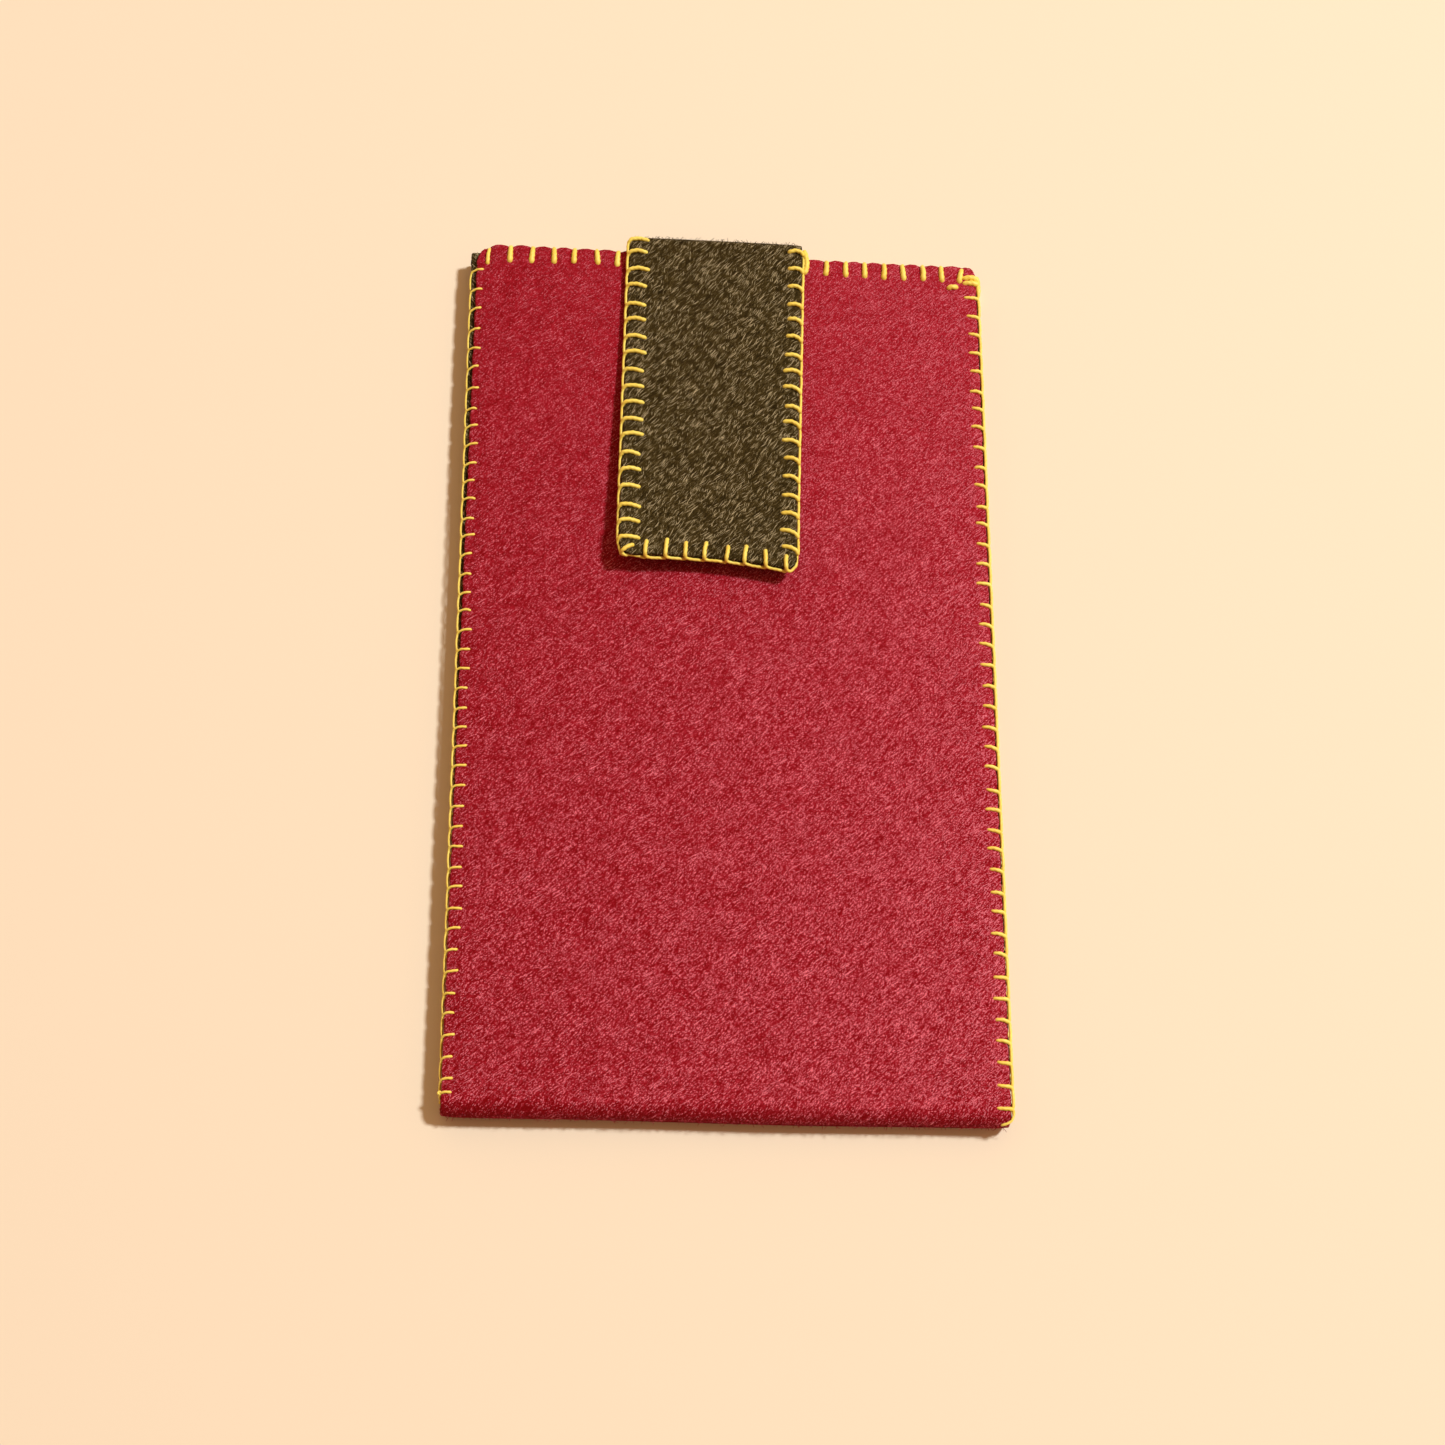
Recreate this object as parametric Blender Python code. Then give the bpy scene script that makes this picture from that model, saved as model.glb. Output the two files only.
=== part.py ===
"""Felt needle case: a lined felt wallet with a needle leaf and a closing tab.

Metres, +Z up. The closed case lies on its back cover. The origin is the middle of the back
cover's underside, +X points to the case's right and +Y from the fold to the free top edges.
Run it with blender --background --python part.py, or from the text editor.
"""

import math

import bmesh
import bpy
from mathutils import Vector

MM = 0.001

# Driving dimensions
CASE_WIDTH = 101.6 * MM
CASE_LENGTH = 177.8 * MM
FELT = 0.9 * MM
LAYER_PITCH = 1.2 * MM
JOIN_GAP = 0.15 * MM
EASE = 0.02 * MM

# Corner radii
COVER_CORNER = 2 * MM
LINING_CORNER = 0.6 * MM
SQUARE_CORNER = 0.3 * MM
RIM_CORNER = 1 * MM
RIM_FROM_JOIN = 0.2 * MM

# Leaf that holds the needles
LEAF_WIDTH = 88 * MM
LEAF_FROM_FOLD = 4 * MM
LEAF_TOP_INSET = 9 * MM
LEAF_SEAM_MARGIN = 3 * MM
LEAF_SEAM_INSET = 1.5 * MM
LEAF_FOLD_CORNER = 2 * MM
LEAF_FREE_CORNER = 1 * MM
LEAF_EDGE = 0.3 * MM

# Closing tab
TAB_WIDTH = 35.0 * MM
TAB_REACH = 69.0 * MM
TAB_OFFSET_X = -2.6 * MM
TAB_END_LEAN = 1.7 * MM
TAB_END_NARROWING = 1.2 * MM
TAB_END_SKEW = 2.8 * MM
TAB_FELT = 0.75 * MM
TAB_ROOT_LENGTH = 7.4 * MM
TAB_CORNER = 3 * MM
TAB_LAYER_GAP = 0.2 * MM
TAB_BEND_RADIUS = 2.0 * MM
TAB_BEND_CENTRE = 0.9 * MM
TAB_PIVOT_FORWARD = 0.6 * MM
TAB_SEAM_FROM_TOP = 5 * MM
TAB_SEAM_INSET = 1 * MM

# Hook-and-loop closure
PATCH_WIDTH = 16 * MM
PATCH_LENGTH = 20 * MM
PATCH_THICKNESS = 0.45 * MM
PATCH_RIM = 0.2 * MM
PATCH_SEAM = 1.6 * MM
PATCH_END_INSET = 12 * MM
PATCH_CORNER = 1 * MM
PATCH_INNER_CORNER = 0.5 * MM
PATCH_THREAD_RINGS = (0.4 * MM, 1.2 * MM)
PATCH_THREAD_GAP = 0.05 * MM

# Blanket stitching
THREAD = 0.7 * MM
LEG_DEPTH = 0.42 * MM
STITCHED_FELT = 0.38 * MM
EDGE_CLEARANCE = 0.1 * MM
SIDE_LEG = 2.6 * MM
TOP_LEG = 3.2 * MM
TAB_LEG = 4.0 * MM
LEG_MARGIN = 0.35 * MM
SIDE_LEG_WIDTH = 0.65 * MM
TOP_LEG_WIDTH = 0.9 * MM
LEG_EASE = 0.04 * MM
LINING_CLEARANCE = 0.08 * MM
SIDE_ROW_FROM_FOLD = 1.2 * MM
ROW_FROM_CORNER = 0.4 * MM
TOP_LEGS_FROM_SIDE_LEGS = 1.2 * MM
BACK_TOP_ROW_HEIGHT = 1.0 * MM
TAB_ROW_DEPTH = 0.75 * MM
TAB_ROW_STANDS_UP = 0.05 * MM
TAB_LEGS_STAND_UP = 0.03 * MM
TAB_LEGS_FROM_CORNER = 1.2 * MM
TAB_LEGS_FROM_BEND = 1.5 * MM
TAB_END_LEGS_FROM_CORNER = 2 * MM
TAB_END_LEG = 3.4 * MM
SIDE_STITCHES = 43
TOP_STITCHES = 24
TAB_SIDE_STITCHES = 18
TAB_END_STITCHES = 8

# Backstitched seams
SEAM_PITCH = 4 * MM
SEAM_HALF_WIDTH = 0.3 * MM
SEAM_HALF_WAIST = 0.15 * MM

CORNER_STEPS = 4
ARC_STEPS = 12

# Places that follow from the dimensions above
HALF_WIDTH = CASE_WIDTH / 2
TOP_Y = CASE_LENGTH / 2
BACK_OUTER_Z = 0.0
BACK_LINING_Z = LAYER_PITCH
LEAF_Z = 2 * LAYER_PITCH
FRONT_LINING_Z = 3 * LAYER_PITCH
FRONT_OUTER_Z = 4 * LAYER_PITCH
CLOSED_HEIGHT = FRONT_OUTER_Z + FELT
FOLD_RADIUS = CLOSED_HEIGHT / 2
FOLD_Y = FOLD_RADIUS - TOP_Y

SPINE_HINGE_INSET = 1.8 * MM
SPINE_PIVOT = Vector((0, FOLD_Y - SPINE_HINGE_INSET, FOLD_RADIUS - SPINE_HINGE_INSET))
COVER_PIVOT = Vector((0, FOLD_Y - SPINE_HINGE_INSET, FOLD_RADIUS + SPINE_HINGE_INSET))
LEAF_PIVOT = Vector((0, FOLD_Y + LEAF_FROM_FOLD, LEAF_Z))

TAB_ROOT_Z = 1.25 * MM
TAB_TOP_Z = 8.75 * MM
TAB_BEND_Y = TOP_Y + TAB_BEND_CENTRE
TAB_OUTER_Z = TAB_TOP_Z - TAB_FELT
TAB_INNER_Z = TAB_OUTER_Z - TAB_LAYER_GAP - TAB_FELT
TAB_END_Y = TOP_Y - TAB_REACH
TAB_LEFT = TAB_OFFSET_X - TAB_WIDTH / 2
TAB_RIGHT = TAB_OFFSET_X + TAB_WIDTH / 2
TAB_ROOT_PIVOT = Vector((0, TAB_BEND_Y + TAB_PIVOT_FORWARD, TAB_ROOT_Z + TAB_FELT / 2))
TAB_PIVOT = Vector((0, TAB_BEND_Y + TAB_PIVOT_FORWARD, TAB_OUTER_Z - TAB_LAYER_GAP / 2))

RED_FELT = (0.42, 0.016, 0.036)
OLIVE_FELT = (0.062, 0.050, 0.020)
YELLOW_THREAD = (0.85, 0.53, 0.05)
CREAM_FELT = (0.72, 0.62, 0.42)
BLACK_TAPE = (0.03, 0.03, 0.028)


def clear_scene():
    for obj in list(bpy.data.objects):
        bpy.data.objects.remove(obj)


def pivot_empty(name, point, parent=None):
    """The empty that a moving group of pieces hangs from, on its joint's axis."""
    empty = bpy.data.objects.new(name, None)
    empty.location = point if parent is None else point - Vector(parent["pivot"])
    empty["pivot"] = tuple(point)
    empty.parent = parent
    bpy.context.collection.objects.link(empty)
    return empty


def finish(name, color, roughness=0.95):
    """A matt Principled material of the piece's own."""
    material = bpy.data.materials.new(name)
    material.use_nodes = True
    shader = material.node_tree.nodes["Principled BSDF"]
    shader.inputs["Base Color"].default_value = (*color, 1)
    shader.inputs["Roughness"].default_value = roughness
    shader.inputs["Metallic"].default_value = 0
    return material


def add_piece(name, bm, color, pivot=None):
    """Turn a bmesh in case coordinates into a named object that hangs from its pivot."""
    bmesh.ops.recalc_face_normals(bm, faces=bm.faces)
    if pivot is not None:
        bmesh.ops.translate(bm, verts=bm.verts, vec=-Vector(pivot["pivot"]))
    mesh = bpy.data.meshes.new(name)
    bm.to_mesh(mesh)
    bm.free()
    obj = bpy.data.objects.new(name, mesh)
    obj.data.materials.append(finish(name + "_finish", color))
    obj.parent = pivot
    bpy.context.collection.objects.link(obj)
    return obj


def add_union(piece, bm, pivot=None):
    """Join a group of solids to a piece, so that it is one closed body."""
    guide = add_piece(piece.name + "_legs", bm, YELLOW_THREAD, pivot)
    guide.hide_render = True
    guide.display_type = "WIRE"
    union = piece.modifiers.new("legs", "BOOLEAN")
    union.operation = "UNION"
    union.solver = "EXACT"
    union.object = guide


def rounded_outline(x0, x1, y0, y1, top_radius, bottom_radius):
    """Plan outline of a rectangle with rounded corners, anticlockwise from the bottom left."""
    corners = (
        (x0, y0, bottom_radius, 180),
        (x1, y0, bottom_radius, 270),
        (x1, y1, top_radius, 0),
        (x0, y1, top_radius, 90),
    )
    points = []
    for x, y, radius, start in corners:
        cx = x + radius if x == x0 else x - radius
        cy = y + radius if y == y0 else y - radius
        for step in range(CORNER_STEPS + 1):
            angle = math.radians(start + 90 * step / CORNER_STEPS)
            points.append((cx + radius * math.cos(angle), cy + radius * math.sin(angle)))
    return points


def loop_at(bm, outline, z):
    return [bm.verts.new((x, y, z)) for x, y in outline]


def bridge(bm, first, second):
    for i in range(len(first)):
        j = (i + 1) % len(first)
        bm.faces.new((first[i], first[j], second[j], second[i]))


def plate(outline, z0, z1):
    """A sheet of even thickness over a plan outline."""
    bm = bmesh.new()
    low, high = loop_at(bm, outline, z0), loop_at(bm, outline, z1)
    bm.faces.new(low)
    bm.faces.new(high)
    bridge(bm, low, high)
    return bm


def stepped_plate(outline, inner, back_z, rim_z, face_z):
    """A sheet whose border is thinned to rim_z, where the stitches pull it tight."""
    bm = bmesh.new()
    loops = (
        loop_at(bm, outline, back_z),
        loop_at(bm, outline, rim_z),
        loop_at(bm, inner, rim_z),
        loop_at(bm, inner, face_z),
    )
    bm.faces.new(loops[0])
    for first, second in zip(loops, loops[1:]):
        bridge(bm, first, second)
    bm.faces.new(loops[3])
    return bm


def box_into(bm, x0, x1, y0, y1, z0, z1):
    low = loop_at(bm, ((x0, y0), (x1, y0), (x1, y1), (x0, y1)), z0)
    high = loop_at(bm, ((x0, y0), (x1, y0), (x1, y1), (x0, y1)), z1)
    bm.faces.new(low)
    bm.faces.new(high)
    bridge(bm, low, high)


def hand_cut(bm):
    """Lean the tab to the left towards its free end, and cut that end narrower and askew."""
    for vertex in bm.verts:
        share = max(0.0, (TOP_Y - vertex.co.y) / TAB_REACH)
        across = (vertex.co.x - TAB_OFFSET_X) / TAB_WIDTH
        vertex.co.x -= share * (TAB_END_LEAN + TAB_END_NARROWING * across)
        vertex.co.y -= share * TAB_END_SKEW * across
    return bm


def along_x(profile, x0, x1):
    """A closed profile in Y and Z carried along X."""
    bm = bmesh.new()
    left = [bm.verts.new((x0, y, z)) for y, z in profile]
    right = [bm.verts.new((x1, y, z)) for y, z in profile]
    bm.faces.new(left)
    bm.faces.new(right)
    bridge(bm, left, right)
    return bm


def arc(cy, cz, radius, start, end, steps=ARC_STEPS):
    """Points in Y and Z on an arc between two angles in degrees, from +Y towards +Z."""
    angles = [math.radians(start + (end - start) * i / steps) for i in range(steps + 1)]
    return [(cy + radius * math.cos(a), cz + radius * math.sin(a)) for a in angles]


def fold_profile(outer_radius):
    """Half ring of one felt layer around the bottom fold."""
    inner_radius = outer_radius - FELT
    trim = math.degrees(JOIN_GAP / outer_radius)
    centre = FOLD_Y, FOLD_RADIUS
    return arc(*centre, outer_radius, 90 + trim, 270 - trim) + arc(
        *centre, inner_radius, 270 - trim, 90 + trim
    )


def bend_profile(outer_radius):
    """One felt layer of the tab where it turns up and over the case's top edge."""
    inner_radius = outer_radius - TAB_FELT
    low_z = TAB_ROOT_Z + TAB_BEND_RADIUS
    high_z = TAB_TOP_Z - TAB_BEND_RADIUS
    steps = ARC_STEPS // 2
    return (
        arc(TAB_BEND_Y, low_z, outer_radius, -90, 0, steps)
        + arc(TAB_BEND_Y, high_z, outer_radius, 0, 90, steps)
        + arc(TAB_BEND_Y, high_z, inner_radius, 90, 0, steps)
        + arc(TAB_BEND_Y, low_z, inner_radius, 0, -90, steps)
    )


def cover_sheet(name, back_z, face_z, pivot=None):
    """An outer red sheet, thinned on the three stitched edges of its outer face."""
    rim_z = back_z + math.copysign(STITCHED_FELT, face_z - back_z)
    y0 = FOLD_Y + JOIN_GAP
    side, top = SIDE_LEG + LEG_MARGIN, TOP_LEG + LEG_MARGIN
    outline = rounded_outline(-HALF_WIDTH, HALF_WIDTH, y0, TOP_Y, COVER_CORNER, SQUARE_CORNER)
    inner = rounded_outline(
        side - HALF_WIDTH, HALF_WIDTH - side, y0 + RIM_FROM_JOIN, TOP_Y - top,
        RIM_CORNER, SQUARE_CORNER
    )
    return add_piece(name, stepped_plate(outline, inner, back_z, rim_z, face_z), RED_FELT, pivot)


def front_lining(pivot):
    outline = rounded_outline(
        -HALF_WIDTH, HALF_WIDTH, FOLD_Y + JOIN_GAP, TOP_Y, LINING_CORNER, SQUARE_CORNER
    )
    bm = plate(outline, FRONT_LINING_Z, FRONT_LINING_Z + FELT)
    add_piece("front_lining_felt", bm, OLIVE_FELT, pivot)


def back_lining():
    """The back lining stops around the tab's root, which lies in the same layer."""
    y0, notch = FOLD_Y + JOIN_GAP, TOP_Y - TAB_ROOT_LENGTH - 2 * JOIN_GAP
    left, right = TAB_LEFT - 2 * JOIN_GAP, TAB_RIGHT + 2 * JOIN_GAP
    outline = (
        (-HALF_WIDTH, y0),
        (HALF_WIDTH, y0),
        (HALF_WIDTH, TOP_Y),
        (right, TOP_Y),
        (right, notch),
        (left, notch),
        (left, TOP_Y),
        (-HALF_WIDTH, TOP_Y),
    )
    add_piece("back_lining_felt", plate(outline, BACK_LINING_Z, BACK_LINING_Z + FELT), OLIVE_FELT)


def spine(pivot):
    outer = along_x(fold_profile(FOLD_RADIUS), -HALF_WIDTH, HALF_WIDTH)
    add_piece("spine_outer_felt", outer, RED_FELT, pivot)
    lining = along_x(fold_profile(FOLD_RADIUS - LAYER_PITCH), -HALF_WIDTH, HALF_WIDTH)
    add_piece("spine_lining_felt", lining, OLIVE_FELT, pivot)


def needle_leaf(pivot):
    half, y0, y1 = LEAF_WIDTH / 2, LEAF_PIVOT.y, TOP_Y - LEAF_TOP_INSET
    outline = rounded_outline(-half, half, y0, y1, LEAF_FOLD_CORNER, LEAF_FREE_CORNER)
    inner = rounded_outline(
        LEAF_EDGE - half, half - LEAF_EDGE, y0 + LEAF_SEAM_MARGIN, y1 - LEAF_EDGE,
        LEAF_FOLD_CORNER, LEAF_FREE_CORNER
    )
    bm = stepped_plate(outline, inner, LEAF_Z, LEAF_Z + STITCHED_FELT, LEAF_Z + FELT)
    add_piece("needle_leaf", bm, CREAM_FELT, pivot)
    seam_y = y0 + LEAF_SEAM_MARGIN / 2
    seam_half = half - LEAF_SEAM_INSET
    seam = seam_row(-seam_half, seam_half, seam_y, LEAF_Z + FELT - LEG_DEPTH)
    add_piece("needle_leaf_thread", seam, YELLOW_THREAD, pivot)


def seam_row(x0, x1, y, z0):
    """A row of backstitches: a thread line whose stitches are thicker than their joins."""
    count = max(2, round((x1 - x0) / SEAM_PITCH))
    stitch, width, waist = (x1 - x0) / count, SEAM_HALF_WIDTH, SEAM_HALF_WAIST
    lower, upper = [], []
    for i in range(count):
        a, b = x0 + i * stitch, x0 + (i + 1) * stitch
        for x, half in ((a, waist), (a + 0.2 * stitch, width), (b - 0.2 * stitch, width)):
            lower.append((x, y - half))
            upper.append((x, y + half))
    lower.append((x1, y - waist))
    upper.append((x1, y + waist))
    return plate(lower + upper[::-1], z0, z0 + LEG_DEPTH - LEG_EASE)


def side_thread(name, side, low_z, high_z, pivot=None):
    """Blanket stitches on a cover's side: a line along the edge, and legs on both faces."""
    inner = side * (HALF_WIDTH + EDGE_CLEARANCE)
    outer = side * (HALF_WIDTH + EDGE_CLEARANCE + THREAD)
    y0, y1 = FOLD_Y + SIDE_ROW_FROM_FOLD, TOP_Y - ROW_FROM_CORNER
    bm = bmesh.new()
    box_into(bm, *sorted((inner, outer)), y0, y1, low_z, high_z)
    thread = add_piece(name, bm, YELLOW_THREAD, pivot)
    tip = side * (HALF_WIDTH - SIDE_LEG)
    legs = bmesh.new()
    for i in range(SIDE_STITCHES):
        y = y0 + (i + 0.5) * (y1 - y0) / SIDE_STITCHES
        root = (inner + outer) / 2
        for z0, z1 in leg_heights(low_z, high_z):
            half = SIDE_LEG_WIDTH / 2
            box_into(legs, *sorted((tip, root)), y - half, y + half, z0, z1)
    add_union(thread, legs, pivot)


def leg_heights(low_z, high_z):
    """Heights of the two legs of a stitch that wraps an edge, just inside the thread line."""
    return (
        (low_z + EASE, low_z + LEG_DEPTH - EASE),
        (high_z - LEG_DEPTH + EASE, high_z - EASE),
    )


def top_thread(name, low_z, high_z, legs_on, pivot=None):
    """Blanket stitches on a cover's top edge. legs_on picks the lower and upper legs."""
    half = HALF_WIDTH - ROW_FROM_CORNER
    y0, y1 = TOP_Y + EDGE_CLEARANCE, TOP_Y + EDGE_CLEARANCE + THREAD
    bm = bmesh.new()
    box_into(bm, -half, half, y0, y1, low_z, high_z)
    thread = add_piece(name, bm, YELLOW_THREAD, pivot)
    legs = bmesh.new()
    inset = SIDE_LEG + TOP_LEGS_FROM_SIDE_LEGS
    for i in range(TOP_STITCHES):
        x = inset - half + i * 2 * (half - inset) / (TOP_STITCHES - 1)
        w = TOP_LEG_WIDTH / 2
        for wanted, (z0, z1) in zip(legs_on, leg_heights(low_z, high_z)):
            if wanted:
                box_into(legs, x - w, x + w, TOP_Y - TOP_LEG, (y0 + y1) / 2, z0, z1)
    add_union(thread, legs, pivot)


def cover_threads(prefix, low_z, high_z, pivot=None):
    side_thread(prefix + "_left_edge_thread", -1, low_z, high_z, pivot)
    side_thread(prefix + "_right_edge_thread", 1, low_z, high_z, pivot)


def tab_root():
    y0, y1 = TOP_Y - TAB_ROOT_LENGTH, TAB_BEND_Y - JOIN_GAP
    outline = ((TAB_LEFT, y0), (TAB_RIGHT, y0), (TAB_RIGHT, y1), (TAB_LEFT, y1))
    add_piece("tab_root_felt", plate(outline, TAB_ROOT_Z, TAB_ROOT_Z + TAB_FELT), OLIVE_FELT)
    seam_z = TAB_ROOT_Z + TAB_FELT + JOIN_GAP
    x0, x1 = TAB_LEFT + TAB_SEAM_INSET, TAB_RIGHT - TAB_SEAM_INSET
    seam = seam_row(x0, x1, TOP_Y - TAB_SEAM_FROM_TOP, seam_z)
    add_piece("tab_anchor_thread", seam, YELLOW_THREAD)


def tab_bend(pivot):
    outer = along_x(bend_profile(TAB_BEND_RADIUS), TAB_LEFT, TAB_RIGHT)
    add_piece("tab_bend_outer_felt", outer, OLIVE_FELT, pivot)
    inner_radius = TAB_BEND_RADIUS - TAB_FELT - TAB_LAYER_GAP
    inner = along_x(bend_profile(inner_radius), TAB_LEFT, TAB_RIGHT)
    add_piece("tab_bend_inner_felt", inner, OLIVE_FELT, pivot)


def tab_sheets(pivot):
    y1 = TAB_BEND_Y - JOIN_GAP
    outline = rounded_outline(TAB_LEFT, TAB_RIGHT, TAB_END_Y, y1, SQUARE_CORNER, TAB_CORNER)
    rim = TAB_LEG + LEG_MARGIN
    inner = rounded_outline(
        TAB_LEFT + rim, TAB_RIGHT - rim, TAB_END_Y + rim, y1 - RIM_FROM_JOIN,
        SQUARE_CORNER, RIM_CORNER
    )
    rim_z = TAB_TOP_Z - LEG_DEPTH - LEG_EASE
    outer = hand_cut(stepped_plate(outline, inner, TAB_OUTER_Z, rim_z, TAB_TOP_Z))
    add_piece("tab_outer_felt", outer, OLIVE_FELT, pivot)
    lower = hand_cut(plate(outline, TAB_INNER_Z, TAB_INNER_Z + TAB_FELT))
    add_piece("tab_inner_felt", lower, OLIVE_FELT, pivot)


def tab_thread(pivot):
    """Blanket stitches around the tab's two sides and free end, as one length of thread."""
    near, far = EDGE_CLEARANCE, EDGE_CLEARANCE + THREAD
    y1 = TAB_BEND_Y - 2 * JOIN_GAP
    left, right, end = TAB_LEFT, TAB_RIGHT, TAB_END_Y
    ring_out = rounded_outline(left - far, right + far, end - far, y1, 0.0, TAB_CORNER + far)
    ring_in = rounded_outline(left - near, right + near, end - near, y1, 0.0, TAB_CORNER + near)
    lower_half = 2 * (CORNER_STEPS + 1)
    out_arc, in_arc = ring_out[:lower_half], ring_in[:lower_half]
    outline = [(left - far, y1), *out_arc, (right + far, y1), (right + near, y1)]
    outline += [*in_arc[::-1], (left - near, y1)]
    z0, z1 = TAB_TOP_Z - TAB_ROW_DEPTH, TAB_TOP_Z + TAB_ROW_STANDS_UP
    line = hand_cut(plate(outline, z0, z1))
    thread = add_piece("tab_edge_thread", line, YELLOW_THREAD, pivot)

    legs = bmesh.new()
    leg_z = TAB_TOP_Z - LEG_DEPTH + LEG_EASE, TAB_TOP_Z + TAB_LEGS_STAND_UP
    w, middle = SIDE_LEG_WIDTH / 2, (near + far) / 2
    first = end + TAB_CORNER + TAB_LEGS_FROM_CORNER
    for i in range(TAB_SIDE_STITCHES):
        y = first + i * (y1 - TAB_LEGS_FROM_BEND - first) / (TAB_SIDE_STITCHES - 1)
        box_into(legs, left - middle, left + TAB_LEG, y - w, y + w, *leg_z)
        box_into(legs, right - TAB_LEG, right + middle, y - w, y + w, *leg_z)
    first = left + TAB_CORNER + TAB_END_LEGS_FROM_CORNER
    last = right - TAB_CORNER - TAB_END_LEGS_FROM_CORNER
    for i in range(TAB_END_STITCHES):
        x = first + i * (last - first) / (TAB_END_STITCHES - 1)
        box_into(legs, x - w, x + w, end - middle, end + TAB_END_LEG, *leg_z)
    add_union(thread, hand_cut(legs), pivot)


def patch(name, back_z, face_z, pivot):
    """Half of the closure: a fabric square whose sewn border is thinner than its pile."""
    x0, x1 = TAB_OFFSET_X - PATCH_WIDTH / 2, TAB_OFFSET_X + PATCH_WIDTH / 2
    y0 = TAB_END_Y + PATCH_END_INSET
    y1 = y0 + PATCH_LENGTH
    up = math.copysign(1, face_z - back_z)

    def inset_outline(d, corner):
        return rounded_outline(x0 + d, x1 - d, y0 + d, y1 - d, corner, corner)

    outline = inset_outline(0.0, PATCH_CORNER)
    inner = inset_outline(PATCH_SEAM, PATCH_INNER_CORNER)
    bm = stepped_plate(outline, inner, back_z, back_z + up * PATCH_RIM, face_z)
    add_piece(name, bm, BLACK_TAPE, pivot)

    z0, z1 = sorted((back_z + up * (PATCH_RIM + PATCH_THREAD_GAP), face_z - up * EASE))
    rings = [inset_outline(d, PATCH_INNER_CORNER) for d in PATCH_THREAD_RINGS]
    seam_bm = bmesh.new()
    low = [loop_at(seam_bm, ring, z0) for ring in rings]
    high = [loop_at(seam_bm, ring, z1) for ring in rings]
    bridge(seam_bm, low[0], low[1])
    bridge(seam_bm, high[0], high[1])
    bridge(seam_bm, low[0], high[0])
    bridge(seam_bm, low[1], high[1])
    add_piece(name + "_thread", seam_bm, YELLOW_THREAD, pivot)


def main():
    clear_scene()
    spine_pivot = pivot_empty("spine_fold_axis", SPINE_PIVOT)
    cover_pivot = pivot_empty("cover_fold_axis", COVER_PIVOT, spine_pivot)
    leaf_pivot = pivot_empty("leaf_turn_axis", LEAF_PIVOT)
    bend_pivot = pivot_empty("tab_root_fold_axis", TAB_ROOT_PIVOT)
    tab_pivot = pivot_empty("tab_fold_axis", TAB_PIVOT, bend_pivot)

    cover_sheet("back_outer_felt", FELT, BACK_OUTER_Z)
    back_lining()
    cover_threads("back", 0.0, BACK_LINING_Z + FELT + LEG_DEPTH + LINING_CLEARANCE)
    top_thread("back_top_edge_thread", 0.0, BACK_TOP_ROW_HEIGHT, (True, False))

    spine(spine_pivot)

    cover_sheet("front_outer_felt", FRONT_OUTER_Z, CLOSED_HEIGHT, cover_pivot)
    front_lining(cover_pivot)
    low_z = FRONT_LINING_Z - LEG_DEPTH - LINING_CLEARANCE
    cover_threads("front", low_z, CLOSED_HEIGHT, cover_pivot)
    top_thread("front_top_edge_thread", low_z, CLOSED_HEIGHT, (True, True), cover_pivot)

    needle_leaf(leaf_pivot)

    tab_root()
    tab_bend(bend_pivot)
    tab_sheets(tab_pivot)
    tab_thread(tab_pivot)

    loop_z = CLOSED_HEIGHT + JOIN_GAP
    patch("loop_patch", loop_z, loop_z + PATCH_THICKNESS, cover_pivot)
    hook_z = TAB_INNER_Z - JOIN_GAP
    patch("hook_patch", hook_z, hook_z - PATCH_THICKNESS, tab_pivot)


main()
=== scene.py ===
"""Looks of a lined felt needle case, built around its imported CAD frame.

Metres, in the frame's own axes: +X to the case's right, +Y from the fold to the free top edges,
+Z up. A felt sheet is made in its own flat coordinates: x across, s along, n out of its middle
surface. A place function then lays it out, around the fold or over the top edge.
"""

import functools
import math

import bpy
import numpy as np
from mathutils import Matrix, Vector


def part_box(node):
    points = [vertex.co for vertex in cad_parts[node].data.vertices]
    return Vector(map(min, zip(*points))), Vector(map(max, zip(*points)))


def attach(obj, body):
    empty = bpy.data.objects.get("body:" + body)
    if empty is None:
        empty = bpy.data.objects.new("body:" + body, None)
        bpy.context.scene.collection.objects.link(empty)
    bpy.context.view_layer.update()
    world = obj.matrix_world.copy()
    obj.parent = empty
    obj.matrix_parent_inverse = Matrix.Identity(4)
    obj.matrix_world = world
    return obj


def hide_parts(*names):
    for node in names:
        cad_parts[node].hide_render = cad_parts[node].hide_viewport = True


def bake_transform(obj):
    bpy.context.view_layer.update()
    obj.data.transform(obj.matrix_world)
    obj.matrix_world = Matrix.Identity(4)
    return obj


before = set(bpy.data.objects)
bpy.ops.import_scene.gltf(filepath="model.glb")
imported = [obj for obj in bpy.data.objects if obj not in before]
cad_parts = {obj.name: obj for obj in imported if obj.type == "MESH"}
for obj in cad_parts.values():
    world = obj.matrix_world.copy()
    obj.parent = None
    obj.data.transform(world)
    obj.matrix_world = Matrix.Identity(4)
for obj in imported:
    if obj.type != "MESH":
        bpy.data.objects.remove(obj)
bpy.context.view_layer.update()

MM = 0.001
QUARTER = math.pi / 2

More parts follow.
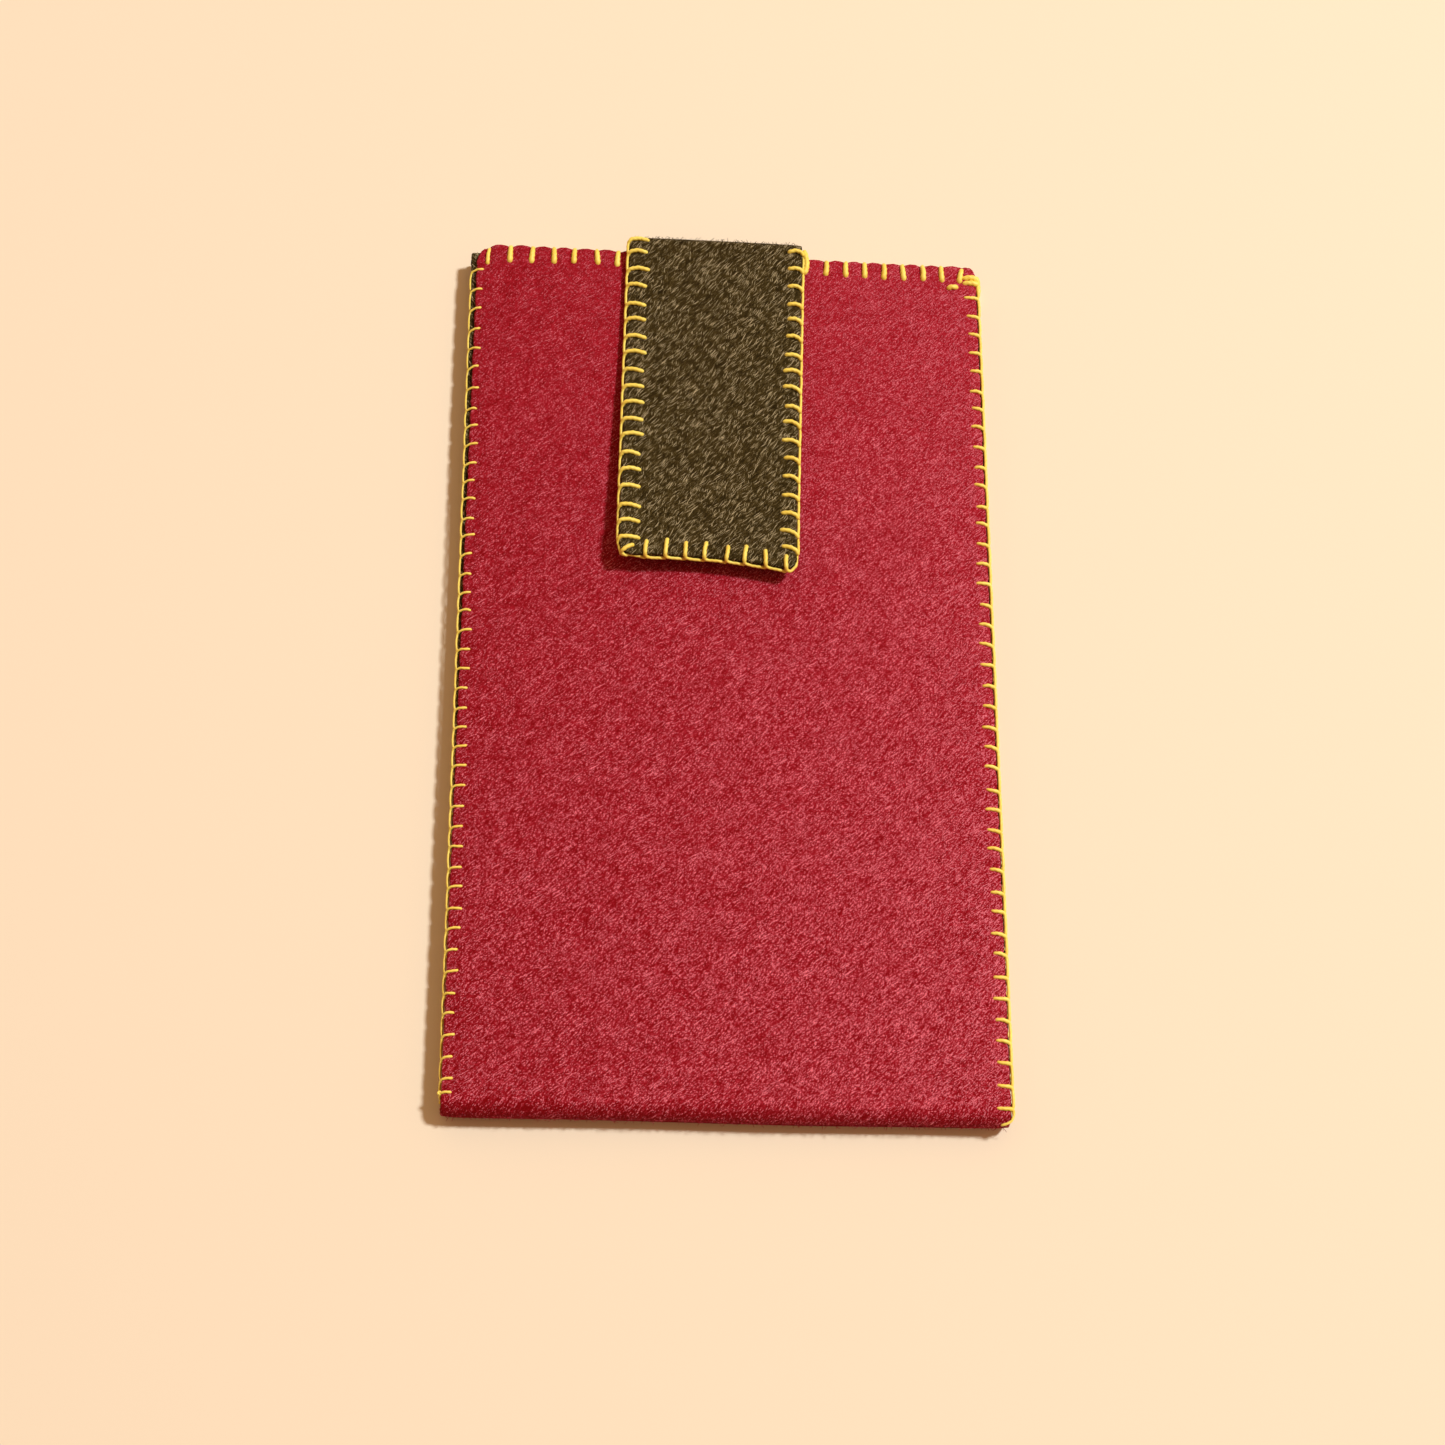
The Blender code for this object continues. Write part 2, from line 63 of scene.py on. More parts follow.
# Places from the frame
COVER_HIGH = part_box("front_outer_felt")[1]
SPINE_LOW, SPINE_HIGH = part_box("spine_outer_felt")
LEAF_LOW, LEAF_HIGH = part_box("needle_leaf")
BEND_LOW, BEND_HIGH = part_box("tab_bend_outer_felt")
ROOT_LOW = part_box("tab_root_felt")[0]
ANCHOR_LOW, ANCHOR_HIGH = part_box("tab_anchor_thread")
LEAF_SEAM_LOW, LEAF_SEAM_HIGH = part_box("needle_leaf_thread")
NOTCH_EDGE = 0.3 * MM
HALF = COVER_HIGH.x
TOP = COVER_HIGH.y
RADIUS = (SPINE_HIGH.z - SPINE_LOW.z) / 2
FOLD = SPINE_LOW.y + RADIUS

# Felt
RIM = 0.30 * MM
OUTER_FELT = 1.05 * MM
LINING_FELT = 1.10 * MM
OUTER_MID = RADIUS - OUTER_FELT / 2
LINING_MID = RADIUS - OUTER_FELT - LINING_FELT / 2
TAB_FELT = 0.80 * MM
TAB_RADIUS = 2.0 * MM
TAB_MID = TAB_RADIUS - TAB_FELT / 2
TAB_INNER_MID = TAB_MID - TAB_FELT - 0.02 * MM
BEND_Y = BEND_HIGH.y - TAB_RADIUS
BEND_TOP = BEND_HIGH.z - TAB_RADIUS
BEND_FOOT = BEND_LOW.z + TAB_RADIUS
BEND_WALL = (BEND_TOP - BEND_FOOT) / 2
TAB_LEFT, TAB_RIGHT = BEND_LOW.x, BEND_HIGH.x
TAB_WIDTH = TAB_RIGHT - TAB_LEFT
TAB_X = (TAB_RIGHT + TAB_LEFT) / 2
TAB_FLAT_S = BEND_WALL + QUARTER * TAB_MID
TAB_END_LEAN = 1.7 * MM
TAB_END_NARROWING = 0.8 * MM
TAB_END_SKEW = 1.5 * MM
TAB_END_ARCH = 1.4 * MM
TAB_END = 17.55 * MM
TAB_REACH = TOP - TAB_END

# Where each cover's cut edges lie, at the top and at the fold
RED_LEFT = (-50.7 * MM, -50.85 * MM)
RED_RIGHT = (50.7 * MM, 51.05 * MM)
LINING_LEFT = (-51.85 * MM, -50.5 * MM)
LINING_RIGHT = (51.2 * MM, 51.3 * MM)
RED_TOP = TOP + 0.2 * MM
LINING_TOP = TOP - 1.5 * MM
SCALLOP = 0.32 * MM

# Stitches, and the radii of their threads
SIDE_STITCHES, TOP_STITCHES = 43, 24
TAB_SIDE_STITCHES, TAB_END_STITCHES = 18, 8
LEFT_THREAD, RIGHT_THREAD = 0.29 * MM, 0.33 * MM
TOP_THREADS = {"front": 0.62 * MM, "back": 0.42 * MM}
TAB_THREAD = 0.46 * MM
SEAM_THREAD = 0.24 * MM

rng = np.random.default_rng(21)


# ------------ felt sheets

def fraction(value, whole):
    """The value as a share of the whole, from 0 to 1."""
    return np.clip(value / whole, 0, 1)


def near(distance, width):
    """A share that falls softly from 1 with distance."""
    return np.exp(-((distance / width) ** 2))


def nearest(*distances):
    return functools.reduce(np.minimum, distances)


def columns(*parts):
    return np.stack(np.broadcast_arrays(*parts), -1)


def run_along(path):
    """How far along a path each of its points is."""
    return np.concatenate([[0], np.cumsum(np.linalg.norm(np.diff(path[:, :3], axis=0), axis=1))])


def new_object(name, data):
    obj = bpy.data.objects.new(name, data)
    bpy.context.scene.collection.objects.link(obj)
    return obj


def grid_lines(stops, steps, rims=(True, True)):
    """Grid lines through the stops, with a step for each stretch and close lines at a rim."""
    lines = [np.array([stops[0]])]
    for low, high, step in zip(stops, stops[1:], steps):
        count = max(1, round((high - low) / step))
        lines.append(low + (high - low) * np.arange(1, count + 1) / count)
    close = RIM * (1 - np.cos(np.radians([25, 50, 75])))
    ends = [stops[0] + close, stops[-1] - close]
    return np.unique(np.concatenate(lines + [end for end, rim in zip(ends, rims) if rim]))


def rim_share(distance):
    """Share of its thickness that a sheet has near a cut edge."""
    inside = np.clip(1 - distance / RIM, 0, 1)
    return 0.4 + 0.6 * np.sqrt(1 - inside * inside)


def round_corner(x, s, corner, side, radius):
    """Bend the grid square at a corner into a quarter disc."""
    u = (x - corner[0]) * side[0] / radius + 1
    v = (s - corner[1]) * side[1] / radius + 1
    here = (u > 0) & (v > 0)
    u, v = np.clip(u, 0, 1), np.clip(v, 0, 1)
    bent_x = corner[0] + side[0] * radius * (u * np.sqrt(1 - v * v / 2) - 1)
    bent_s = corner[1] + side[1] * radius * (v * np.sqrt(1 - u * u / 2) - 1)
    return np.where(here, bent_x, x), np.where(here, bent_s, s)


def leg_distance(x, s, legs):
    """Distance from each point to the nearest stitch leg."""
    best = np.full(np.shape(x), 1.0)
    for tip, foot in legs:
        run = foot - tip
        t = fraction((x - tip[0]) * run[0] + (s - tip[1]) * run[1], run @ run)
        best = np.minimum(best, np.hypot(x - tip[0] - t * run[0], s - tip[1] - t * run[1]))
    return best


def pull_in(x, s, legs, amount, reach=0.9 * MM):
    """Draw a cut edge inwards where each stitch wraps it."""
    moved_x, moved_s = x.copy(), s.copy()
    for tip, foot in legs:
        into = (tip - foot) / np.linalg.norm(tip - foot)
        share = np.exp(-((x - foot[0]) ** 2 + (s - foot[1]) ** 2) / reach**2)
        moved_x += into[0] * amount * share
        moved_s += into[1] * amount * share
    return moved_x, moved_s


def closed_sheet(name, x, s, top, bottom, place, keep=None):
    """A closed mesh from a grid's outer and inner faces, joined along every open edge."""
    rows, cols = x.shape
    total = rows * cols
    at = np.arange(total).reshape(rows, cols)
    cells = columns(at[:-1, :-1], at[:-1, 1:], at[1:, 1:], at[1:, :-1]).reshape(-1, 4)
    if keep is not None:
        cells = cells[keep.ravel()]
    edges = np.concatenate([cells[:, [i, (i + 1) % 4]] for i in range(4)])
    forward, backward = edges @ (total, 1), edges @ (1, total)
    open_edges = edges[~np.isin(forward, backward)]
    a, b = open_edges[:, 0], open_edges[:, 1]
    sides = columns(b, a, a + total, b + total)
    faces = np.concatenate([cells, cells[:, ::-1] + total, sides])
    flat = np.concatenate([columns(x, s, n).reshape(-1, 3) for n in (top, bottom)])
    return mesh_object(name, place(*flat.T), faces, flat)


def mesh_object(name, points, faces, flat):
    """A smooth mesh object, with each point's place in the flat sheet as an attribute."""
    used, faces = np.unique(faces, return_inverse=True)
    faces = faces.reshape(-1, 4)
    points, flat = points[used], flat[used]
    a, b, c, d = (points[faces[:, i]] for i in range(4))
    volume = np.einsum("ij,ij->", a, np.cross(b, c)) + np.einsum("ij,ij->", a, np.cross(c, d))
    if volume < 0:
        faces = faces[:, ::-1]
    mesh = bpy.data.meshes.new(name)
    mesh.from_pydata(points.tolist(), [], faces.tolist())
    mesh.shade_smooth()
    stored = mesh.attributes.new("flat_place", "FLOAT_VECTOR", "POINT")
    stored.data.foreach_set("vector", flat.astype(np.float32).ravel())
    return new_object(name, mesh)


# ------------ stitches

class Row:
    """A row of stitches in a sheet's flat coordinates: their feet on the edge and their tips. A foot
    that isn't sewn only leads the thread around a corner. turns says how much a leg curls along
    the edge at its foot: 1 fully onwards, -1 fully back."""

    def __init__(self, feet, into, lengths, lean, sewn=None, turns=None):
        count = len(feet)
        into = np.broadcast_to(np.array(into, float), (count, 2))
        into = into / np.linalg.norm(into, axis=1)[:, None]
        along = columns(-into[:, 1], into[:, 0])
        lean = rng.uniform(-lean, lean, count) * MM
        self.feet = np.array(feet)
        self.tips = self.feet + into * lengths[:, None] + along * lean[:, None]
        self.sewn = np.ones(count, bool) if sewn is None else sewn
        self.turns = np.ones(count) if turns is None else turns

    def legs(self):
        return list(zip(self.tips[self.sewn], self.feet[self.sewn]))


def spread_out(start, end, count, jitter):
    """Places of a hand-sewn row, evenly meant and slightly uneven."""
    pitch = (end - start) / count
    places = start + (np.arange(count) + 0.5) * pitch
    return places + rng.uniform(-jitter, jitter, count)


def smooth_path(points, spacing, soft):
    """A polyline rounded as a soft thread would be, with evenly spaced points."""
    def sample(line, run, at):
        return columns(*(np.interp(at, run, column) for column in line.T))

    points = np.array(points, float)
    fine = 0.08 * MM
    run = run_along(points)
    dense = sample(points, run, np.arange(0, run[-1], fine))
    width = max(1, round(soft / fine))
    window = np.ones(2 * width + 1) / (2 * width + 1)
    for _ in range(2):
        padded = np.concatenate([dense[:1].repeat(width, 0), dense, dense[-1:].repeat(width, 0)])
        dense = columns(*(np.convolve(column, window, "valid") for column in padded.T))
    run = run_along(dense)
    return sample(dense, run, np.linspace(0, run[-1], max(2, round(run[-1] / spacing))))


def blanket_path(row, face_n, back_n, radius, out, purl_n, bulge, hook, thick, arch=0.0,
                 end=()):
    """Blanket stitch in a sheet's flat coordinates: for each stitch a leg on the back, the way up
    through the felt at its tip, a leg on the face, and the purl along the edge to the next.
    out is how far the purl stands off the edge at the row's ends, thick the share of the radius
    at a leg's foot, at its tip and in the purl, arch how far a leg's middle bows against its
    curl, and end holds extra points."""
    points = []
    count = len(row.feet)
    at_foot, at_tip, in_purl = thick
    for i, stand_off in enumerate(np.linspace(*out, count)):
        foot, tip = row.feet[i], row.tips[i]
        into = (tip - foot) / np.linalg.norm(tip - foot)
        ahead = row.feet[min(i + 1, count - 1)] - row.feet[max(i - 1, 0)]
        ahead = ahead / np.linalg.norm(ahead)
        purl = foot - into * stand_off

        def at(place, n, scale):
            points.append((place[0], place[1], n, scale))

        if row.sewn[i]:
            curl = ahead * row.turns[i]
            middle = (foot + tip) / 2 + ahead * rng.uniform(-0.12, 0.12) * MM - curl * arch
            at(purl + into * stand_off * 0.25, (purl_n + back_n(foot)) / 2, in_purl)
            at(foot + into * 0.5 * MM, back_n(foot) - 0.5 * radius, at_foot)
            at(tip, back_n(tip) - 0.3 * radius, at_tip)
            at(tip, (face_n(tip) + back_n(tip)) / 2, at_tip)
            at(tip, face_n(tip) + 0.15 * radius, at_tip)
            at(middle, face_n(middle) + 0.75 * radius, (at_foot + at_tip) / 2)
            at(foot + into * 0.2 * MM - curl * arch * 0.4, face_n(foot) + 0.55 * radius, at_foot)
            at(purl + into * stand_off * 0.1 + curl * hook, 0.6 * purl_n + 0.4 * face_n(foot),
               (at_foot + in_purl) / 2)
        at(purl + ahead * (hook + 0.5 * MM), purl_n, in_purl)
        if i == count - 1:
            break
        step = row.feet[i + 1] - foot
        pitch = np.linalg.norm(step)
        swing = bulge * rng.uniform(0.4, 1.5)
        drop = rng.uniform(-0.1, 0.1) * MM
        if pitch > 2 * MM and row.sewn[i] and row.sewn[i + 1]:
            for share in (0.38, 0.66):
                at(foot + step * share - into * (stand_off + swing), purl_n + drop, in_purl)
        if row.sewn[i + 1]:
            at(purl + step * (1 - 0.35 * MM / pitch), purl_n - 0.35 * radius, in_purl)
    points.extend(end)
    return smooth_path(points, 0.26 * MM, 0.17 * MM)


def tube(path, radius, sides=10, lobes=0.09, twist=1.9 * MM):
    """Points, faces and flat coordinates of a two-ply thread along a path. The path's fourth
    column is the share of the radius."""
    path, scale, run = path[:, :3], path[:, 3], run_along(path)
    along = np.gradient(path, axis=0)
    along /= np.linalg.norm(along, axis=1)[:, None]
    across = np.cross(along[0], (0.3, 0.2, 1.0))
    first = []
    for direction in along:
        across = across - direction * (across @ direction)
        across /= np.linalg.norm(across)
        first.append(across)
    first = np.array(first)
    second = np.cross(along, first)
    angle = np.arange(sides) * 2 * math.pi / sides
    ply = 1 - lobes + lobes * np.cos(2 * (angle[None] - (run * 2 * math.pi / twist)[:, None]))
    ends = fraction(np.minimum(run, run[-1] - run), radius)
    reach = radius * ply * (scale * (0.25 + 0.75 * np.sqrt(1 - (1 - ends) ** 2)))[:, None]
    cos, sin = np.cos(angle)[None, :, None], np.sin(angle)[None, :, None]
    ring = cos * first[:, None] + sin * second[:, None]
    points = (path[:, None] + ring * reach[..., None]).reshape(-1, 3)
    at = np.arange(len(points)).reshape(len(path), sides)
    turned = np.roll(at, -1, 1)
    faces = columns(at[:-1], turned[:-1], turned[1:], at[1:]).reshape(-1, 4)
    flat = columns(run[:, None], angle[None] * radius, 0).reshape(-1, 3)
    caps = []
    for ring_at, order in ((at[0], 1), (at[-1], -1)):
        for k in range(sides // 2 - 1):
            quad = [ring_at[k], ring_at[k + 1], ring_at[sides - 2 - k], ring_at[sides - 1 - k]]
            caps.append(quad[::-order])
    return points, np.concatenate([faces, np.array(caps)]), flat


def tubes_object(name, paths, place, **shape):
    """One piece from several paths in a sheet's flat coordinates."""
    points, faces, flat, count = [], [], [], 0
    for path, radius in paths:
        world = np.column_stack([place(*path[:, :3].T), path[:, 3]])
        p, f, c = tube(world, radius, **shape)
        points.append(p)
        faces.append(f + count)
        flat.append(c + np.array([0, 0, 0.01 * len(flat)]))
        count += len(p)
    return mesh_object(name, *(np.concatenate(part) for part in (points, faces, flat)))


def running_path(corners, stitch, gap, high, low):
    """Running stitch along straight sides, over the felt and under it."""
    points = []
    for start, end in zip(corners, corners[1:]):
        start, end = np.array(start, float), np.array(end, float)
        run = end - start
        count = max(1, round(np.linalg.norm(run) / (stitch + gap)))
        share = stitch / (stitch + gap)
        for i in range(count):
            for part, n in ((0.0, low), (0.08, high), (share - 0.08, high), (share, low)):
                place = start + run * (i + part) / count
                points.append((place[0], place[1], n, 1.0))
    return smooth_path(points, 0.25 * MM, 0.1 * MM)


def level(x, s, n):
    """Lays a flat sheet out where it is."""
    return columns(x, s, n)


def fuzz(name, xs, span, face, place):
    """Loose fibres on a sheet's outer face, rooted in a span of s."""
    share = np.linspace(0, 1, 5)
    paths = []
    for x in xs + rng.uniform(-0.2, 0.2, len(xs)) * MM:
        s = rng.uniform(*span)
        length = rng.uniform(0.4, 1.0) * rng.uniform(0.6, 1.3) * MM
        aside, along = rng.normal(0, 0.6), rng.normal(0, 0.5)
        paths.append((columns(
            x + length * aside * share, s + length * along * share**2,
            face - 0.08 * MM + length * (share - 0.25 * share**2), 1 - 0.5 * share), 0.055 * MM))
    return tubes_object(name, paths, place, sides=6, lobes=0.0)


# ------------ covers

def swell(x, s):
    """Gentle unevenness that the front cover's layers share."""
    wide = 0.12 * MM * np.sin(x / (19 * MM) + 0.8) * np.sin(s / (27 * MM) + 2.1)
    return wide + 0.05 * MM * np.sin(x / (8 * MM) - s / (13 * MM))


def edge_x(s, ends):
    """Where an edge lies that goes from the first place, at the top, to the second."""
    return ends[0] + (ends[1] - ends[0]) * fraction(TOP - s, TOP - FOLD)


def cover_place(side, middle):
    """Lays a cover's sheet flat above the fold, and around half of the fold, which stands out a
    little more near the middle of the case."""
    def place(x, s, n):
        turn = np.clip((FOLD - s) / middle, 0, None)
        loose = 0.30 * MM + 0.25 * MM * near(x - 12 * MM, 22 * MM)
        reach = middle + n + loose * np.sin(np.minimum(turn, QUARTER)) ** 2
        y = np.where(s >= FOLD, s, FOLD - reach * np.sin(turn))
        z = np.where(s >= FOLD, middle + n, reach * np.cos(turn))
        return columns(x, y, RADIUS + side * z)
    return place


def left_row():
    """The left side's stitches, further apart at the top."""
    wider_to = 49.3 * MM
    ys = np.concatenate([
        spread_out(TOP - 3.8 * MM, wider_to, 8, 0.2 * MM),
        spread_out(wider_to, FOLD + 1.15 * MM, SIDE_STITCHES - 9, 0.25 * MM), [FOLD + 0.55 * MM]])
    longer = np.interp(np.arange(SIDE_STITCHES), (0, 14, 33, 42), (0, 0.5, 1.0, 0.6))
    lengths = (rng.uniform(0.85, 1.35, SIDE_STITCHES) + longer) * MM
    return Row(columns(edge_x(ys, RED_LEFT), ys), (1, 0.06), lengths, 0.2)


def right_row():
    """The right side's stitches, two of them close together at the corner."""
    wider_to = -23.2 * MM
    ys = np.concatenate([
        RED_TOP - np.array([2.85, 4.05]) * MM,
        spread_out(TOP - 5.25 * MM, wider_to, 25, 0.3 * MM),
        spread_out(wider_to, FOLD - 1.9 * MM, SIDE_STITCHES - 27, 0.3 * MM)])
    longer = np.linspace(0, 0.5, SIDE_STITCHES)
    lengths = (rng.uniform(1.5, 2.1, SIDE_STITCHES) + longer) * MM
    lengths[:3] = 2.4 * MM
    row = Row(columns(edge_x(ys, RED_RIGHT), ys), (-1, 0.10), lengths, 0.2)
    row.tips[:2, 1] = row.feet[:2, 1]
    return row


def top_row():
    """The top edge's stitches: left of the tab, under it and right of it."""
    xs = np.concatenate([
        spread_out(-50.4 * MM, -20.2 * MM, 7, 0.12 * MM),
        spread_out(-19.8 * MM, 17.6 * MM, TOP_STITCHES - 15, 0.3 * MM),
        spread_out(18.2 * MM, 49.4 * MM, 8, 0.15 * MM)])
    feet = columns(xs, RED_TOP - SCALLOP)
    feet[0, 1] -= 0.75 * MM
    feet[-1] += (0.35 * MM, -0.45 * MM)
    longer = np.where(xs < -35 * MM, 0.45, 0.0)
    row = Row(feet, (0, -1), (rng.uniform(2.8, 3.3, TOP_STITCHES) + longer) * MM, 0.3)
    row.tips[-1, 0] -= 0.45 * MM
    return row


class Cover:
    """One cover: its stitches, and the two felt sheets that they join."""

    def __init__(self, side):
        self.side = side
        self.swell = swell if side > 0 else (lambda x, s: 0 * x)
        self.left, self.right, self.top = left_row(), right_row(), top_row()

    def edge_distance(self, x, s):
        return nearest(x - edge_x(s, RED_LEFT), edge_x(s, RED_RIGHT) - x, RED_TOP - s)

    def pinch(self, x, s):
        """How much the sewing presses the edges together."""
        distance = np.clip(self.edge_distance(x, s), 0, None)
        return 0.22 * MM * near(distance, 1.6 * MM)

    def groove(self, x, s):
        """How deep the stitch legs sink into the felt."""
        sides = near(leg_distance(x, s, self.left.legs() + self.right.legs()), 0.45 * MM)
        tops = near(leg_distance(x, s, self.top.legs()), 0.75 * MM)
        return 0.30 * MM * np.maximum(sides, 1.35 * tops)

    def outer_face(self, x, s):
        """Height of the outer felt's outer face above the book's middle plane."""
        return RADIUS + self.swell(x, s) - self.pinch(x, s)

    def inner_face(self, x, s):
        return RADIUS - OUTER_FELT - LINING_FELT + self.swell(x, s) + self.pinch(x, s)

    def sheet(self, name, middle, thickness, outside, xs, ss, edges, corners, pulled, keep=None):
        left_x, right_x, top_y = edges
        x, s = np.meshgrid(xs, ss)
        distance = nearest(x + HALF, HALF - x, TOP - s)
        for side, corner in zip((-1, 1), corners):
            x, s = round_corner(x, s, (side * HALF, TOP), (side, 1), corner)
        share = (HALF - x) / (2 * HALF)
        x = x + (edge_x(s, left_x) + HALF) * share + (edge_x(s, right_x) - HALF) * (1 - share)
        s = s + (top_y - TOP) * (1 - fraction(TOP - s, 8 * MM))
        ragged = near(distance, 0.4 * MM) * 0.06 * MM
        x = x + ragged * rng.normal(size=x.shape) * (np.abs(x) > HALF - 2 * MM)
        s = s + ragged * rng.normal(size=x.shape) * (s > TOP - 2 * MM)
        x, s = pull_in(x, s, self.left.legs() + self.right.legs(), pulled)
        x, s = pull_in(x, s, self.top.legs(), 2.2 * pulled, 1.0 * MM)
        half = thickness / 2 * rim_share(distance)
        lift = self.swell(x, s)
        press = self.pinch(x, s) + self.groove(x, s)
        top = lift + half - (press if outside else 0)
        bottom = lift - half + (0 if outside else press)
        return closed_sheet(name, x, s, top, bottom, cover_place(self.side, middle), keep)


def cover_lines(middle, across_step, along_step):
    side, top = 3.6 * MM, 4.4 * MM
    xs = grid_lines(
        (-HALF, side - HALF, HALF - side, HALF),
        (0.42 * MM, across_step, 0.42 * MM))
    start = FOLD - QUARTER * middle
    ss = grid_lines(
        (start, FOLD, TOP - top, TOP), (0.4 * MM, along_step, 0.42 * MM), (False, True))
    return xs, ss


def fold_fuzz():
    """Loose fibres along the outside of the fold."""
    start = FOLD - QUARTER * OUTER_MID
    xs = np.arange(0.8 * MM - HALF, HALF - 0.8 * MM, 0.26 * MM)
    span = (start, start + 1.2 * MM)
    return fuzz("fold_fuzz", xs, span, OUTER_FELT / 2, cover_place(1, OUTER_MID))


def bend_at_fold(piece, side):
    """Bakes the transform of a piece that crosses from a cover to the spine."""
    spine_at, cover_at = (0, FOLD - RADIUS, RADIUS), (0, FOLD, RADIUS + side * RADIUS)
    if side > 0:
        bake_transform(piece)
        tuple(spine_at)
        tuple(cover_at)
    else:
        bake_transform(piece)
        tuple(cover_at)
        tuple(spine_at)


def make_cover(prefix, side):
    cover = Cover(side)
    xs, ss = cover_lines(OUTER_MID, 1.1 * MM, 0.5 * MM)
    outer = cover.sheet(
        prefix + "_cover_felt", OUTER_MID, OUTER_FELT, True, xs, ss,
        (RED_LEFT, RED_RIGHT, RED_TOP), (4.6 * MM, 2.4 * MM), 0.16 * MM)
    xs, ss = cover_lines(LINING_MID, 1.6 * MM, 0.6 * MM)
    keep = None
    if side < 0:
        notch = (BEND_LOW.x - NOTCH_EDGE, BEND_HIGH.x + NOTCH_EDGE)
        notch_y = ROOT_LOW.y - NOTCH_EDGE
        xs = np.unique(np.concatenate([xs, notch]))
        ss = np.unique(np.concatenate([ss, [notch_y]]))
        mid_x, mid_s = np.meshgrid((xs[1:] + xs[:-1]) / 2, (ss[1:] + ss[:-1]) / 2)
        keep = ~((mid_x > notch[0]) & (mid_x < notch[1]) & (mid_s > notch_y))
    lining = cover.sheet(
        prefix + "_lining", LINING_MID, LINING_FELT, False, xs, ss,
        (LINING_LEFT, LINING_RIGHT, LINING_TOP), (0.7 * MM, 0.7 * MM), 0.05 * MM, keep)
    for piece in (outer, lining):
        bend_at_fold(piece, side)
    return cover, outer, lining


def cover_threads(cover, prefix, side):
    """Blanket stitches of the two sides and the top edge."""
    def place(x, s, n):
        return columns(x, s, RADIUS + side * n)

    def face_n(at):
        return float(cover.outer_face(at[0], at[1]) - cover.groove(at[0], at[1]))

    def back_n(at):
        return float(cover.inner_face(at[0], at[1]) + cover.groove(at[0], at[1]))

    front = side > 0
    radius = LEFT_THREAD
    left_end = cover.left.feet[-1]
    tail = [(left_end[0] - 0.1 * MM, left_end[1] - down * MM, n * MM, 0.8)
            for down, n in ((0.9, 1.5), (1.3, 1.2))]
    left = [(blanket_path(
        cover.left, face_n, back_n, radius, (1.05 * MM, 0.22 * MM), 1.75 * MM, 0.07 * MM, 0.30 * MM,
        (0.85, 1.0, 0.72), end=tail), radius)]
    if front:
        left.append((knot_path(left_end[0] - 0.2 * MM, left_end[1], 2.1 * MM), 0.22 * MM))

    radius = RIGHT_THREAD
    right_end = cover.right.feet[-1]
    curl = [(right_end[0] + over * MM, right_end[1] - down * MM, n * MM, 0.8)
            for over, down, n in (
                (0.5, 1.1, 2.2), (0.1, 2.1, 2.2), (-0.7, 2.6, 2.1), (-1.5, 2.8, 1.9),
                (-1.9, 2.8, 1.4))]
    stand_off = (0.50 * MM, 0.48 * MM) if front else (1.0 * MM, 0.65 * MM)
    right = [(blanket_path(
        cover.right, face_n, back_n, radius, stand_off, 2.10 * MM, 0.05 * MM, 0.18 * MM,
        (1.3, 1.0, 1.0), arch=0.05 * MM, end=curl if front else ()), radius)]
    right[0][0][:, 3] *= corner_share(right[0][0], cover)

    radius = TOP_THREADS[prefix]
    top = [(blanket_path(
        cover.top, face_n, back_n, radius, (0, 0), 1.20 * MM, 0, 0, (0.8, 1.08, 0.6)), radius)]
    first = cover.top.feet[0, 0] + 1.5 * MM - top[0][0][:, 0]
    top[0][0][:, 3] *= 1 - 0.3 * fraction(first, 0.8 * MM)
    if front:
        top.append((knot_dash(cover), 0.58 * MM))

    pieces = []
    for label, paths in (("left", left), ("right", right), ("top", top)):
        for path, radius in paths:
            if not front:
                path[:, 2] = np.minimum(path[:, 2], RADIUS - radius * path[:, 3])
        pieces.append(tubes_object(prefix + "_" + label + "_stitching", paths, place))
    bend_at_fold(pieces[1], side)
    return pieces


def corner_share(path, cover):
    """The two stitches at the top right corner are worked double, so thicker."""
    double = np.clip((path[:, 1] - cover.right.feet[2, 1]) / (1.2 * MM) - 0.6, 0, 1)
    return 1 + 0.65 * double


def knot_path(x, y, n):
    """A small knot: the thread wound twice around itself."""
    size, turn = 0.28 * MM, np.linspace(0, 4 * math.pi, 26)
    return columns(
        x + size * np.cos(turn), y + size * 0.8 * np.sin(turn),
        n + size * (turn / (4 * math.pi) - 0.3), 1)


def knot_dash(cover):
    """The short stitch that fastens off the top row, near the right corner."""
    x, y, half = 45.8 * MM, RED_TOP - 5.35 * MM, 0.85 * MM
    face = float(cover.outer_face(x, y))
    points = [(x + share * half, y + 0.1 * MM * share, face + n * MM, 1.0)
              for share, n in ((-1.0, -0.6), (-0.85, 0.1), (0.0, 0.3), (0.85, 0.1), (1.0, -0.6))]
    return smooth_path(points, 0.2 * MM, 0.12 * MM)


# ------------ tab

def hand_cut(x, y):
    """Lean the tab to the left, and cut its free end narrower, askew and slightly hollow."""
    share = np.clip((TOP - y) / TAB_REACH, 0, None)
    across = (x - TAB_X) / TAB_WIDTH
    hollow = TAB_END_ARCH * share**3 * (1 - 4 * across**2)
    return (x - share * (TAB_END_LEAN + TAB_END_NARROWING * across),
            y - share * TAB_END_SKEW * across + hollow)


